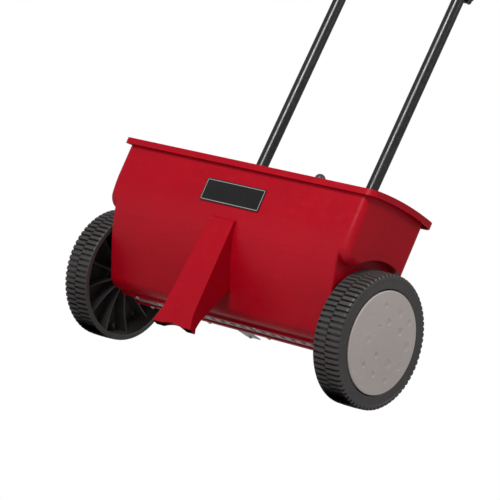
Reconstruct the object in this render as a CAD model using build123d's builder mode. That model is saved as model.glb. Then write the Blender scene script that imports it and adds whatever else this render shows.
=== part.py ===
from build123d import *
from math import acos, atan2, cos, degrees, hypot, radians, sin, tan
import os

# A walk-behind drop spreader for a lawn: a moulded hopper on two wheels, a feed roller in the
# hopper's sump, a sliding shutter with a lever under it, and a tube handle behind it.
# Millimetres. The hopper is drawn in its own frame, whose origin is the middle of the axle,
# with X along the axle, Y to the rear and Z up along the front wall.

# Wheels and axle
wheel_radius = 100.0
wheel_width = 46.0
wheel_gap = 6.4
tread_depth = 5.0
tread_blocks = 72
tread_slot = 4.0
tread_rib = 3.0
band_thickness = 9.0
sidewall_radius = 78.0
sidewall_thickness = 4.0
web_inset = 9.4
web_thickness = 3.0
wheel_hub_radius = 14.0
wheel_ribs = 12
wheel_rib_thickness = 2.4
wheel_rib_depth = 24.0
axle_radius = 4.0
axle_end = 2.0
running_clearance = 0.05
hub_play = 0.3
drive_pin_inset = 12.2
drive_pin_radius = 1.8
washer_radius = 11.0
washer_thickness = 1.2
washer_play = 0.1
clip_thickness = 1.2
bush_flange = 2.5

# Hub caps
cap_play = 1.5
cap_proud = 1.8
cap_thickness = 2.6
cap_skirt_inset = 2.5
cap_skirt = 2.4
cap_dome = 1.2
dimple_depth = 1.1
outer_dimples = 10
inner_dimples = 6

# Hopper
wall = 3.0
hopper_half = 238.0
arch_step = 17.0
front_y = -113.5
back_y = 34.0
knee_z = 76.0
sump_front_y = -45.7
sump_z = -28.0
shelf_z = 78.0
arch_radius = 113.5
corner_radius = 12.0
bin_corner = 4.5
sump_round = 24.0
knee_round = 18.0

# Rim: a turned-down flange round the mouth, low at the front and slightly arched
rim_overhang = 10.2
rim_front_y = -119.6
rim_back_y = 44.0
rim_front_z = 184.5
rim_mid_z = 198.0
rim_back_z = 198.5
flange = 3.0
lip_depth = 9.5
lip_thickness = 2.6
rim_corner = 16.0

# Foot: a hollow wedge moulded on the front wall, on which the spreader stands when parked
foot_top_z = 103.0
foot_top_half = 22.5
foot_waist_z = -61.0
foot_waist_half = 30.5
foot_toe_y = -124.7
foot_toe_z = -82.5
foot_toe_half = 37.6
foot_wall = 3.2
foot_sole = 13.0
foot_undercut = 61.0
foot_arch = 3.5
foot_flare_round = 40.0

# Outlets, shutter and its rails
outlet_pitch = 20.0
outlet_width = 9.0
outlet_depth = 14.0
shutter_travel = 10.0
shutter_thickness = 1.5
shutter_half_depth = 18.0
shutter_inset = 16.0
rail_inset = 9.0
rail_outer_y = 22.0
rail_lip = 4.0
rail_bottom_z = -32.0
rail_screws = 4
rail_width = 8.0
shutter_top_z = -28.05
groove_play = 0.05
tab_width = 28.0
tab_end_y = 58.0
finger_y = 50.5
finger_play = 0.12

# Feed roller
roller_inset = 12.0
roller_core = 8.5
roller_radius = 21.0
roller_blade = 3.2

# Handle
tube_radius = 9.5
tube_wall = 1.2
tube_x = 110.0
tube_y = 35.0
tube_lean = 2.36
tube_foot = 28.0
channel_top_z = 55.0
joint_along = 560.0
spigot = 46.0
handle_top = 985.0
handle_bend = 52.0
saddle_along = 150.0
saddle_height = 26.0
grip_radius = 14.0
grip_length = 108.0

# Dose lever
pivot_z = 10.0
lever_y = 49.0
lever_thickness = 3.0
lever_top_z = 222.0
knob_radius = 8.5
knob_top_z = 245.0
knob_y = 55.0
knob_length = 40.0
finger_radius = 4.0
quadrant_radius = 150.0
quadrant_band = 30.0
quadrant_reach = 24.0

# Fasteners
screw_radius = 1.6
screw_head = 3.2
bolt_radius = 3.0
bolt_head = 7.0
pivot_radius = 3.0
bush_radius = 9.0
rail_screw_y = 20.0
saddle_screw_x = 21.0
quadrant_back_y = 43.5
quadrant_thickness = 2.5
quadrant_notches = 7
saddle_ear = 3.5
nut_height = 7.0
star_radius = 17.0
star_lobes = 6

# Bare plate on the front wall
plate_width = 116.0
plate_height = 36.0
plate_thickness = 1.2
plate_z = 133.2

# Along the axle, everything follows from the hopper's half length
bin_half = hopper_half - arch_step
rim_half = hopper_half + rim_overhang
wheel_inner_x = bin_half + wheel_gap
wheel_outer_x = wheel_inner_x + wheel_width
web_x = wheel_outer_x - web_inset
outer_face = web_x + web_thickness
wheel_hub_inner_x = bin_half + bush_flange + hub_play
drive_pin_x = wheel_hub_inner_x + drive_pin_inset
axle_half = outer_face + washer_play + washer_thickness + clip_thickness + axle_end
cap_radius = sidewall_radius - cap_play
cap_skirt_radius = cap_radius - cap_skirt_inset
cap_face_x = wheel_outer_x + cap_proud
roller_half = bin_half - roller_inset
rail_half = bin_half - rail_inset
shutter_half = bin_half - shutter_inset
outlets = int(2 * roller_half / outlet_pitch)
rail_screw_span = outlet_pitch * (outlets // rail_screws + 1)
joint_bolt_along = joint_along + spigot / 2

# Parked, the spreader leans forward on its wheels until the foot is on the ground.
toe_reach = hypot(foot_toe_y, foot_toe_z)
lean = degrees(atan2(-foot_toe_y, -foot_toe_z)) - degrees(acos(wheel_radius / toe_reach))
front_reach = rim_front_z * sin(radians(lean)) - rim_front_y * cos(radians(lean))
axle_y = (front_reach - wheel_radius) / 2

ground = Plane.XY
machine = Plane(
    origin=(0, axle_y, wheel_radius),
    x_dir=(1, 0, 0),
    z_dir=(0, -sin(radians(lean)), cos(radians(lean))),
)
tube_dir = machine.y_dir * sin(radians(tube_lean)) + machine.z_dir * cos(radians(tube_lean))


def at(x, y, z):
    """A point given in the hopper's frame."""
    return machine.from_local_coords(Vector(x, y, z))


def across(x):
    """Plane square to the axle: local x runs to the rear, local y up."""
    return Plane(origin=at(x, 0, 0), x_dir=machine.y_dir, z_dir=machine.x_dir)


def level(z):
    """Plane parallel to the sump floor at height z."""
    return Plane(origin=at(0, 0, z), x_dir=machine.x_dir, z_dir=machine.z_dir)


def facing(y):
    """Plane parallel to the front wall, looking forward: local x and y are X and Z."""
    return Plane(origin=at(0, y, 0), x_dir=machine.x_dir, z_dir=-machine.y_dir)


def station(x, along):
    """Plane square to a handle tube, at a distance along it from the level of the axle."""
    origin = at(x, tube_y, 0) + tube_dir * along
    return Plane(origin=origin, x_dir=machine.x_dir, z_dir=tube_dir)


def station_side(x, along):
    """Plane at a handle tube's centre, looking along its cross bolt, to the rear."""
    origin = at(x, tube_y, 0) + tube_dir * along
    return Plane(origin=origin, x_dir=machine.x_dir, z_dir=tube_dir.cross(machine.x_dir))


def wheel_plane(x):
    """Plane square to the axle that doesn't lean, for the wheels' patterns."""
    return Plane(origin=(x, axle_y, wheel_radius), x_dir=(0, 1, 0), z_dir=(1, 0, 0))


def level_ground(z):
    """Plane at height z above the axle that doesn't lean."""
    return Plane(origin=(0, axle_y, wheel_radius + z))


wheel_section = Plane(origin=(0, axle_y, wheel_radius), x_dir=(1, 0, 0), z_dir=(0, -1, 0))
axle_line = Axis((0, axle_y, wheel_radius), (1, 0, 0))
tag = {-1: "left", 1: "right"}
brim = 235.0
bin_top_z = arch_radius + 6 * wall
reach = 300.0

os.makedirs("parts", exist_ok=True)


def bin_solid(half, inset):
    """The bin between the wheels, or its inside when inset by the wall."""
    with BuildPart() as solid:
        with BuildSketch(across(-half + inset)):
            with BuildLine():
                path = FilletPolyline(
                    (front_y, bin_top_z),
                    (front_y, knee_z),
                    (sump_front_y, sump_z),
                    (back_y, sump_z),
                    (back_y, bin_top_z),
                    radius=[knee_round, sump_round, sump_round * 0.62],
                )
                Line(path @ 1, path @ 0)
            make_face()
            if inset:
                offset(amount=-inset)
        extrude(amount=2 * (half - inset))
    return solid.part


def hood_solid(half, inset):
    """The wide upper box, whose ends arch over the wheels."""
    with BuildPart() as solid:
        with BuildSketch(across(-half + inset)):
            with BuildLine():
                path = FilletPolyline(
                    (front_y, brim),
                    (front_y, shelf_z),
                    (back_y, shelf_z),
                    (back_y, brim),
                    radius=knee_round,
                )
                Line(path @ 1, path @ 0)
            make_face()
            Circle(arch_radius, mode=Mode.SUBTRACT)
            if inset:
                offset(amount=-inset)
        extrude(amount=2 * (half - inset))
        upright = solid.edges().filter_by(Axis((0, 0, 0), machine.z_dir))
        fillet(upright, corner_radius - inset)
    return solid.part


def rim_strip(top, bottom):
    """A band across the hopper between two depths below the arched line of the rim."""
    with BuildPart() as strip:
        with BuildSketch(across(-reach)):
            with BuildLine():
                upper = ThreePointArc(
                    (rim_front_y - 8, rim_front_z - 1.6 - top),
                    ((rim_front_y + rim_back_y) / 2, rim_mid_z - top),
                    (rim_back_y + 40, rim_back_z - top),
                )
                lower = ThreePointArc(
                    (rim_front_y - 8, rim_front_z - 1.6 - bottom),
                    ((rim_front_y + rim_back_y) / 2, rim_mid_z - bottom),
                    (rim_back_y + 40, rim_back_z - bottom),
                )
                Line(upper @ 0, lower @ 0)
                Line(upper @ 1, lower @ 1)
            make_face()
        extrude(amount=2 * reach)
    return strip.part


def plan_prism(half, front, back, radius):
    """An upright prism with rounded corners, through the height of the rim."""
    with BuildPart() as prism:
        with BuildSketch(level(120)):
            with Locations((0, (front + back) / 2)):
                RectangleRounded(2 * half, back - front, radius)
        extrude(amount=120)
    return prism.part


def tube_rod(x, start, end, radius):
    """A straight rod on a handle tube's centre line."""
    with BuildPart() as rod:
        with BuildSketch(station(x, start)):
            Circle(radius)
        extrude(amount=end - start)
    return rod.part


def foot_side(inset):
    """Side view of the foot, from the front wall down to below the ground."""
    undercut = 1 / tan(radians(foot_undercut))
    heel_y = foot_toe_y + foot_sole
    low = foot_toe_z - 12
    slope = (foot_toe_y - front_y) / (foot_top_z - foot_toe_z)
    low_y = foot_toe_y + slope * 12
    with BuildPart() as block:
        with BuildSketch(across(-reach / 2)):
            with BuildLine():
                Polyline(
                    (front_y, foot_top_z),
                    (low_y, low),
                    (heel_y, low),
                    (heel_y, foot_toe_z + 6),
                    (heel_y + (-foot_toe_z) * undercut, 6),
                    (sump_front_y + 6, 6),
                    (front_y + 40, foot_top_z),
                    close=True,
                )
            make_face()
        extrude(amount=reach)
        if inset:
            with BuildSketch(across(-reach / 2)):
                with BuildLine():
                    Polyline(
                        (front_y, foot_top_z),
                        (low_y, low),
                        (low_y + inset, low),
                        (front_y + inset, foot_top_z),
                        close=True,
                    )
                make_face()
            extrude(amount=reach, mode=Mode.SUBTRACT)
    return block.part


def foot_front(inset):
    """Front view of the foot: narrow at the top, flared at the toes."""
    with BuildPart() as block:
        with BuildSketch(facing(front_y - 40)):
            with BuildLine():
                flare = (foot_toe_half - foot_waist_half) / (foot_waist_z - foot_toe_z)
                right = FilletPolyline(
                    (foot_top_half - inset, foot_top_z),
                    (foot_waist_half - inset, foot_waist_z),
                    (foot_toe_half + flare * 12 - inset, foot_toe_z - 12),
                    radius=foot_flare_round,
                )
                left = FilletPolyline(
                    (-foot_top_half + inset, foot_top_z),
                    (-foot_waist_half + inset, foot_waist_z),
                    (-foot_toe_half - flare * 12 + inset, foot_toe_z - 12),
                    radius=foot_flare_round,
                )
                Line(left @ 0, right @ 0)
                Line(left @ 1, right @ 1)
            make_face()
        extrude(amount=-reach)
    return block.part


# Hopper: walls, flange, foot, tube channels and bosses in one moulding
bin_outer = bin_solid(bin_half, 0)
bin_inner = bin_solid(bin_half, wall)
hood_outer = hood_solid(hopper_half, 0)
hood_inner = hood_solid(hopper_half, wall)
above_rim = rim_strip(-60, 0)
flange_prism = plan_prism(rim_half, rim_front_y, rim_back_y, rim_corner)
lip_prism = plan_prism(
    rim_half - lip_thickness,
    rim_front_y + lip_thickness,
    rim_back_y - lip_thickness,
    rim_corner - lip_thickness,
)
mouth_prism = plan_prism(
    hopper_half - wall, front_y + wall, back_y - wall, corner_radius - wall
)

with BuildPart() as under_flange:
    add(lip_prism)
    add(rim_strip(flange, lip_depth + 20), mode=Mode.INTERSECT)

with BuildPart() as rim:
    add(flange_prism)
    add(rim_strip(0, lip_depth), mode=Mode.INTERSECT)
    add(under_flange.part, mode=Mode.SUBTRACT)
    add(mouth_prism, mode=Mode.SUBTRACT)

with BuildPart() as foot_hollow:
    add(foot_side(foot_wall))
    add(foot_front(foot_wall), mode=Mode.INTERSECT)
    with BuildSketch(level(foot_toe_z - 30)):
        Rectangle(reach, 2 * reach)
    extrude(amount=30 + foot_wall + 4, mode=Mode.SUBTRACT)

with BuildPart() as foot:
    add(foot_side(0))
    add(foot_front(0), mode=Mode.INTERSECT)
    add(foot_hollow.part, mode=Mode.SUBTRACT)
    with BuildSketch(facing(front_y - 40)):
        with BuildLine():
            instep = ThreePointArc(
                (-foot_waist_half + 8, foot_toe_z - 2),
                (0, foot_toe_z + foot_arch),
                (foot_waist_half - 8, foot_toe_z - 2),
            )
            Polyline(instep @ 0, (-foot_waist_half + 8, -reach), (foot_waist_half - 8, -reach), instep @ 1)
        make_face()
    extrude(amount=-reach / 2, mode=Mode.SUBTRACT)
    with BuildSketch(ground):
        Rectangle(4 * reach, 4 * reach)
    extrude(amount=-reach, mode=Mode.SUBTRACT)

with BuildPart() as channels:
    for x in (-tube_x, tube_x):
        add(tube_rod(x, tube_foot - wall, brim, tube_radius + wall))
    with BuildSketch(across(-reach)):
        with Locations((back_y + reach / 2, channel_top_z + reach / 2)):
            Rectangle(reach, reach)
    extrude(amount=2 * reach, mode=Mode.SUBTRACT)

with BuildPart() as shell:
    add(bin_outer)
    add(hood_outer)
    ends = shell.faces().filter_by(Axis.X).group_by(lambda f: round(abs(f.center().X)))[0]
    low = ends.edges().filter_by(lambda e: machine.to_local_coords(e.center()).Z < knee_z - 22)
    fillet(low, bin_corner)

with BuildPart() as hopper:
    add(shell.part)
    add(foot.part)
    add(bin_inner, mode=Mode.SUBTRACT)
    add(hood_inner, mode=Mode.SUBTRACT)
    add(channels.part)
    # bosses inside the end walls for the axle bushes
    for x in (-bin_half, bin_half - 7):
        with BuildSketch(across(x)):
            Circle(16)
        extrude(amount=7)
    # bosses on the rear wall for the lever's pivot and the quadrant
    with BuildSketch(facing(lever_y)):
        with Locations((0, pivot_z)):
            Circle(9)
    extrude(amount=lever_y - back_y + 1)
    with BuildSketch(facing(quadrant_back_y)):
        with Locations((0, pivot_z)):
            with PolarLocations(quadrant_radius - quadrant_band / 2, 2, 90 - 18, 36, endpoint=True):
                Circle(5)
    extrude(amount=quadrant_back_y - back_y + 1)
    add(above_rim, mode=Mode.SUBTRACT)
    add(rim.part)
    # outlets in the sump floor
    with BuildSketch(level(sump_z - 1)):
        with GridLocations(outlet_pitch, 0, outlets, 1):
            SlotCenterToCenter(outlet_depth - outlet_width, outlet_width, rotation=90)
    extrude(amount=wall + 2, mode=Mode.SUBTRACT)
    # pilot holes for the rails' screws
    with BuildSketch(level(sump_z - 1)):
        for y in (-rail_screw_y, rail_screw_y):
            with Locations((0, y)):
                with GridLocations(rail_screw_span, 0, rail_screws, 1):
                    Circle(screw_radius)
    extrude(amount=wall + 2, mode=Mode.SUBTRACT)
    # bores for the bushes, the pivot screw and the quadrant's screws
    with BuildSketch(across(-reach)):
        Circle(bush_radius)
    extrude(amount=2 * reach, mode=Mode.SUBTRACT)
    with BuildSketch(facing(lever_y)):
        with Locations((0, pivot_z)):
            Circle(pivot_radius)
    extrude(amount=12, mode=Mode.SUBTRACT)
    with BuildSketch(facing(quadrant_back_y)):
        with Locations((0, pivot_z)):
            with PolarLocations(quadrant_radius - quadrant_band / 2, 2, 90 - 18, 36, endpoint=True):
                Circle(screw_radius)
    extrude(amount=8, mode=Mode.SUBTRACT)
    # seats for the handle tubes, the bolts through them and the saddles' screws
    for x in (-tube_x, tube_x):
        add(tube_rod(x, tube_foot, brim + 60, tube_radius), mode=Mode.SUBTRACT)
        with BuildSketch(facing(back_y + 20)):
            with Locations((x, saddle_along)):
                Circle(bolt_radius)
        extrude(amount=60, mode=Mode.SUBTRACT)
        with BuildSketch(facing(back_y + 1)):
            with Locations((x - saddle_screw_x, saddle_along), (x + saddle_screw_x, saddle_along)):
                Circle(screw_radius)
        extrude(amount=wall + 2, mode=Mode.SUBTRACT)
hopper.part.label = "hopper"
export_step(hopper.part, "parts/hopper.step")

# Bare plate on the front wall, with a thin raised border
with BuildPart() as plate:
    with BuildSketch(facing(front_y - plate_thickness)):
        with Locations((0, plate_z)):
            RectangleRounded(plate_width, plate_height, 3)
    extrude(amount=-plate_thickness)
    with BuildSketch(facing(front_y - plate_thickness - 0.3)):
        with Locations((0, plate_z)):
            RectangleRounded(plate_width - 3, plate_height - 3, 2)
            RectangleRounded(plate_width - 4.6, plate_height - 4.6, 1.4, mode=Mode.SUBTRACT)
    extrude(amount=-0.3)
plate.part.label = "front_plate"
export_step(plate.part, "parts/front_plate.step")

# Axle, turned by the left wheel, with a cross pin through that wheel's hub
with BuildPart() as axle:
    with BuildSketch(wheel_plane(-axle_half)):
        Circle(axle_radius)
    extrude(amount=2 * axle_half)
    chamfer(axle.edges().filter_by(GeomType.CIRCLE), 0.8)
    with BuildSketch(level_ground(-wheel_hub_radius)):
        with Locations((-drive_pin_x, 0)):
            Circle(drive_pin_radius)
    extrude(amount=2 * wheel_hub_radius, mode=Mode.SUBTRACT)
axle.part.label = "axle"
export_step(axle.part, "parts/axle.step")

with BuildPart() as drive_pin:
    with BuildSketch(level_ground(-wheel_hub_radius)):
        with Locations((-drive_pin_x, 0)):
            Circle(drive_pin_radius)
    extrude(amount=2 * wheel_hub_radius)
    chamfer(drive_pin.edges().filter_by(GeomType.CIRCLE), 0.4)
drive_pin.part.label = "drive_pin"
export_step(drive_pin.part, "parts/drive_pin.step")

for side in (-1, 1):
    # Flanged bush in the end wall
    with BuildPart() as bush:
        with BuildSketch(wheel_plane(side * (bin_half - 7))):
            Circle(bush_radius)
        extrude(amount=side * 7)
        with BuildSketch(wheel_plane(side * bin_half)):
            Circle(bush_radius + 4)
        extrude(amount=side * bush_flange)
        with BuildSketch(wheel_plane(side * (bin_half - 10))):
            Circle(axle_radius + running_clearance)
        extrude(amount=side * 20, mode=Mode.SUBTRACT)
        chamfer(bush.edges().filter_by(GeomType.CIRCLE).sort_by(SortBy.RADIUS)[-2:], 0.5)
    bush.part.label = f"axle_bush_{tag[side]}"
    export_step(bush.part, f"parts/{bush.part.label}.step")

    # Moulded wheel: band, outer sidewall, web, hub and ribs, then the tread's slots
    bore = axle_radius if side < 0 else axle_radius + running_clearance
    with BuildPart() as wheel:
        with BuildSketch(wheel_section):
            with BuildLine():
                Polyline(
                    (side * wheel_hub_inner_x, bore),
                    (side * outer_face, bore),
                    (side * outer_face, sidewall_radius - 0.6),
                    (side * (wheel_outer_x - 0.8), sidewall_radius),
                    (side * wheel_outer_x, sidewall_radius + 4),
                    (side * wheel_outer_x, wheel_radius - 4),
                    (side * (wheel_outer_x - 3), wheel_radius),
                    (side * (wheel_inner_x + 3), wheel_radius),
                    (side * wheel_inner_x, wheel_radius - 4),
                    (side * wheel_inner_x, wheel_radius - band_thickness),
                    (side * (wheel_outer_x - sidewall_thickness), wheel_radius - band_thickness - 1),
                    (side * (wheel_outer_x - sidewall_thickness), sidewall_radius + 3),
                    (side * web_x, sidewall_radius + 2.4),
                    (side * web_x, wheel_hub_radius + 1),
                    (side * wheel_hub_inner_x, wheel_hub_radius),
                    close=True,
                )
            make_face()
        revolve(axis=axle_line)
        rib_span = wheel_radius - band_thickness - wheel_hub_radius + 2
        with BuildSketch(wheel_plane(side * (web_x - wheel_rib_depth))):
            with PolarLocations(wheel_hub_radius - 1 + rib_span / 2, wheel_ribs):
                Rectangle(rib_span, wheel_rib_thickness)
        extrude(amount=side * (wheel_rib_depth + 1))
        pitch = 360 / tread_blocks
        row = (wheel_width - tread_rib) / 2
        for start_x, turn in ((wheel_inner_x - 1, 0), (wheel_outer_x - row, pitch / 2)):
            with BuildSketch(wheel_plane(side * start_x)):
                with PolarLocations(wheel_radius, tread_blocks, start_angle=90 + pitch / 2 + turn):
                    Rectangle(2 * tread_depth, tread_slot)
            extrude(amount=side * (row + 1), mode=Mode.SUBTRACT)
        if side < 0:
            with BuildSketch(level_ground(-wheel_hub_radius - 2)):
                with Locations((-drive_pin_x, 0)):
                    Circle(drive_pin_radius)
            extrude(amount=2 * wheel_hub_radius + 4, mode=Mode.SUBTRACT)
    wheel.part.label = f"wheel_{tag[side]}"
    export_step(wheel.part, f"parts/{wheel.part.label}.step")

    # Washer and push-on clip that keep the wheel on the axle
    with BuildPart() as washer:
        with BuildSketch(wheel_plane(side * (outer_face + washer_play))):
            Circle(washer_radius)
            Circle(axle_radius, mode=Mode.SUBTRACT)
        extrude(amount=side * washer_thickness)
    washer.part.label = f"axle_washer_{tag[side]}"
    export_step(washer.part, f"parts/{washer.part.label}.step")

    with BuildPart() as clip:
        with BuildSketch(wheel_plane(side * (outer_face + washer_play + washer_thickness))):
            Circle(axle_radius + 3.2)
            Circle(axle_radius, mode=Mode.SUBTRACT)
            with PolarLocations(axle_radius + 0.6, 6, start_angle=30):
                Rectangle(2.4, 1.0, mode=Mode.SUBTRACT)
        extrude(amount=side * clip_thickness)
    clip.part.label = f"axle_clip_{tag[side]}"
    export_step(clip.part, f"parts/{clip.part.label}.step")

    # Dimpled hub cap, slightly domed, standing on a skirt against the web
    with BuildPart() as cap:
        with BuildSketch(wheel_section):
            with BuildLine():
                face = ThreePointArc(
                    (side * (cap_face_x + cap_dome), 0),
                    (side * (cap_face_x + cap_dome * 0.75), cap_radius / 2),
                    (side * cap_face_x, cap_radius - 1.5),
                )
                Polyline(
                    face @ 1,
                    (side * (cap_face_x - 1.2), cap_radius),
                    (side * (cap_face_x - cap_thickness), cap_radius),
                    (side * (cap_face_x - cap_thickness), cap_skirt_radius),
                    (side * outer_face, cap_skirt_radius),
                    (side * outer_face, cap_skirt_radius - cap_skirt),
                    (side * (cap_face_x - cap_thickness), cap_skirt_radius - cap_skirt),
                    (side * (cap_face_x - cap_thickness), 0),
                    face @ 0,
                )
            make_face()
        revolve(axis=axle_line)
        for count, ring, size in ((outer_dimples, 56, 5.6), (inner_dimples, 33, 5.0)):
            for k in range(count):
                with BuildSketch(wheel_plane(side * (cap_face_x + cap_dome + 1))):
                    with PolarLocations(ring, 1, start_angle=360 * k / count + 8):
                        Circle(size + 1.2 * (-1) ** k)
                extrude(amount=-side * (1 + dimple_depth + cap_dome * (ring / cap_radius) ** 2),
                        mode=Mode.SUBTRACT)
    cap.part.label = f"hub_cap_{tag[side]}"
    export_step(cap.part, f"parts/{cap.part.label}.step")

# Feed roller: a core on the axle with a crossed blade over each outlet
with BuildPart() as roller:
    with BuildSketch(wheel_plane(-roller_half)):
        Circle(roller_core)
    extrude(amount=2 * roller_half)
    for k in range(outlets):
        x = (k - (outlets - 1) / 2) * outlet_pitch
        with BuildSketch(wheel_plane(x - roller_blade / 2)):
            Rectangle(2 * roller_radius, 7, rotation=90 * k + 45 * (k // 2 % 2))
        extrude(amount=roller_blade)
    for x in (-roller_half, roller_half - 4):
        with BuildSketch(wheel_plane(x)):
            Circle(roller_core + 4)
        extrude(amount=4)
    with BuildSketch(wheel_plane(-roller_half - 1)):
        Circle(axle_radius)
    extrude(amount=2 * roller_half + 2, mode=Mode.SUBTRACT)
roller.part.label = "feed_roller"
export_step(roller.part, "parts/feed_roller.step")

# Shutter: a slotted plate under the sump with a rear tab for the lever's finger
with BuildPart() as shutter:
    with BuildSketch(level(shutter_top_z - shutter_thickness)):
        RectangleRounded(2 * shutter_half, 2 * shutter_half_depth, 3)
        with Locations((0, (tab_end_y + shutter_half_depth) / 2 - 2)):
            Rectangle(tab_width, tab_end_y - shutter_half_depth + 4)
        with Locations((shutter_travel, 0)):
            with GridLocations(outlet_pitch, 0, outlets, 1):
                SlotCenterToCenter(outlet_depth - outlet_width, outlet_width, rotation=90,
                                   mode=Mode.SUBTRACT)
        with Locations((0, finger_y)):
            Rectangle(2 * finger_radius + 2 * finger_play, lever_thickness + 1.2, mode=Mode.SUBTRACT)
    extrude(amount=shutter_thickness)
shutter.part.label = "shutter"
export_step(shutter.part, "parts/shutter.step")

# Rails that carry the shutter, one in front and one behind
for place, name in ((-1, "front"), (1, "rear")):
    with BuildPart() as rail:
        with BuildSketch(level(rail_bottom_z)):
            with Locations((0, place * (rail_outer_y - rail_width / 2))):
                Rectangle(2 * rail_half, rail_width)
        extrude(amount=sump_z - rail_bottom_z)
        # the groove that the shutter's edge runs in
        with BuildSketch(level(shutter_top_z - shutter_thickness - groove_play)):
            with Locations((0, place * (shutter_half_depth + groove_play - rail_width))):
                Rectangle(2 * rail_half + 2, 2 * rail_width)
            if place > 0:
                with Locations((-shutter_travel / 2, rail_outer_y - rail_width)):
                    Rectangle(tab_width + shutter_travel + 4, 3 * rail_width)
        extrude(amount=reach, mode=Mode.SUBTRACT)
        with BuildSketch(level(rail_bottom_z - 1)):
            with Locations((0, place * rail_screw_y)):
                with GridLocations(rail_screw_span, 0, rail_screws, 1):
                    Circle(screw_radius)
        extrude(amount=20, mode=Mode.SUBTRACT)
    rail.part.label = f"shutter_rail_{name}"
    export_step(rail.part, f"parts/{rail.part.label}.step")
    for k in range(rail_screws):
        x = (k - (rail_screws - 1) / 2) * rail_screw_span
        with BuildPart() as screw:
            with BuildSketch(level(rail_bottom_z - 2)):
                with Locations((x, place * rail_screw_y)):
                    Circle(screw_head)
            extrude(amount=2)
            chamfer(screw.edges().group_by(Axis((0, 0, 0), machine.z_dir))[0], 0.7)
            with BuildSketch(level(rail_bottom_z)):
                with Locations((x, place * rail_screw_y)):
                    Circle(screw_radius)
            extrude(amount=sump_z + wall + 1.5 - rail_bottom_z)
        screw.part.label = f"rail_screw_{name}_{k + 1}"
        export_step(screw.part, f"parts/{screw.part.label}.step")

# Handle: two lower tubes, swaged at the top, and a bent bar that slips over them
tube_inner = tube_radius - tube_wall
for side in (-1, 1):
    x = side * tube_x
    with BuildPart() as tube:
        with BuildSketch(station(x, tube_foot)):
            Circle(tube_radius)
        extrude(amount=joint_along - tube_foot)
        with BuildSketch(station(x, joint_along)):
            Circle(tube_inner)
        extrude(amount=spigot)
        chamfer(tube.edges().filter_by(GeomType.CIRCLE).sort_by(Axis.Z)[-1], 0.8)
        with BuildSketch(station(x, tube_foot)):
            Circle(tube_inner)
        extrude(amount=joint_along - spigot / 2 - tube_foot, mode=Mode.SUBTRACT)
        with BuildSketch(station(x, tube_foot)):
            Circle(tube_inner - tube_wall)
        extrude(amount=joint_along + spigot - tube_foot, mode=Mode.SUBTRACT)
        with BuildSketch(facing(reach / 2)):
            with Locations((x, saddle_along)):
                Circle(bolt_radius)
        extrude(amount=reach, mode=Mode.SUBTRACT)
        with BuildSketch(station_side(x, joint_bolt_along)):
            Circle(bolt_radius)
        extrude(amount=reach, both=True, mode=Mode.SUBTRACT)
    tube.part.label = f"handle_tube_{tag[side]}"
    export_step(tube.part, f"parts/{tube.part.label}.step")

handle_plane = Plane(origin=at(0, tube_y, 0), x_dir=machine.x_dir, z_dir=machine.x_dir.cross(tube_dir))
with BuildPart() as push_bar:
    with BuildLine(handle_plane):
        FilletPolyline(
            (-tube_x, joint_along),
            (-tube_x, handle_top),
            (tube_x, handle_top),
            (tube_x, joint_along),
            radius=handle_bend,
        )
    with BuildSketch(station(-tube_x, joint_along)):
        Circle(tube_radius)
        Circle(tube_inner, mode=Mode.SUBTRACT)
    sweep()
    for x in (-tube_x, tube_x):
        with BuildSketch(station_side(x, joint_bolt_along)):
            Circle(bolt_radius)
        extrude(amount=reach, both=True, mode=Mode.SUBTRACT)
push_bar.part.label = "push_bar"
export_step(push_bar.part, "parts/push_bar.step")

# Foam grip on the straight of the bar
grip_plane = Plane(
    origin=at(-grip_length / 2, tube_y, 0) + tube_dir * handle_top,
    x_dir=machine.y_dir,
    z_dir=machine.x_dir,
)
with BuildPart() as grip:
    with BuildSketch(grip_plane):
        Circle(grip_radius)
        Circle(tube_radius, mode=Mode.SUBTRACT)
    extrude(amount=grip_length)
    chamfer(grip.edges().filter_by(GeomType.CIRCLE).sort_by(SortBy.RADIUS)[-2:], 2.0)
grip.part.label = "grip"
export_step(grip.part, "parts/grip.step")

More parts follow.
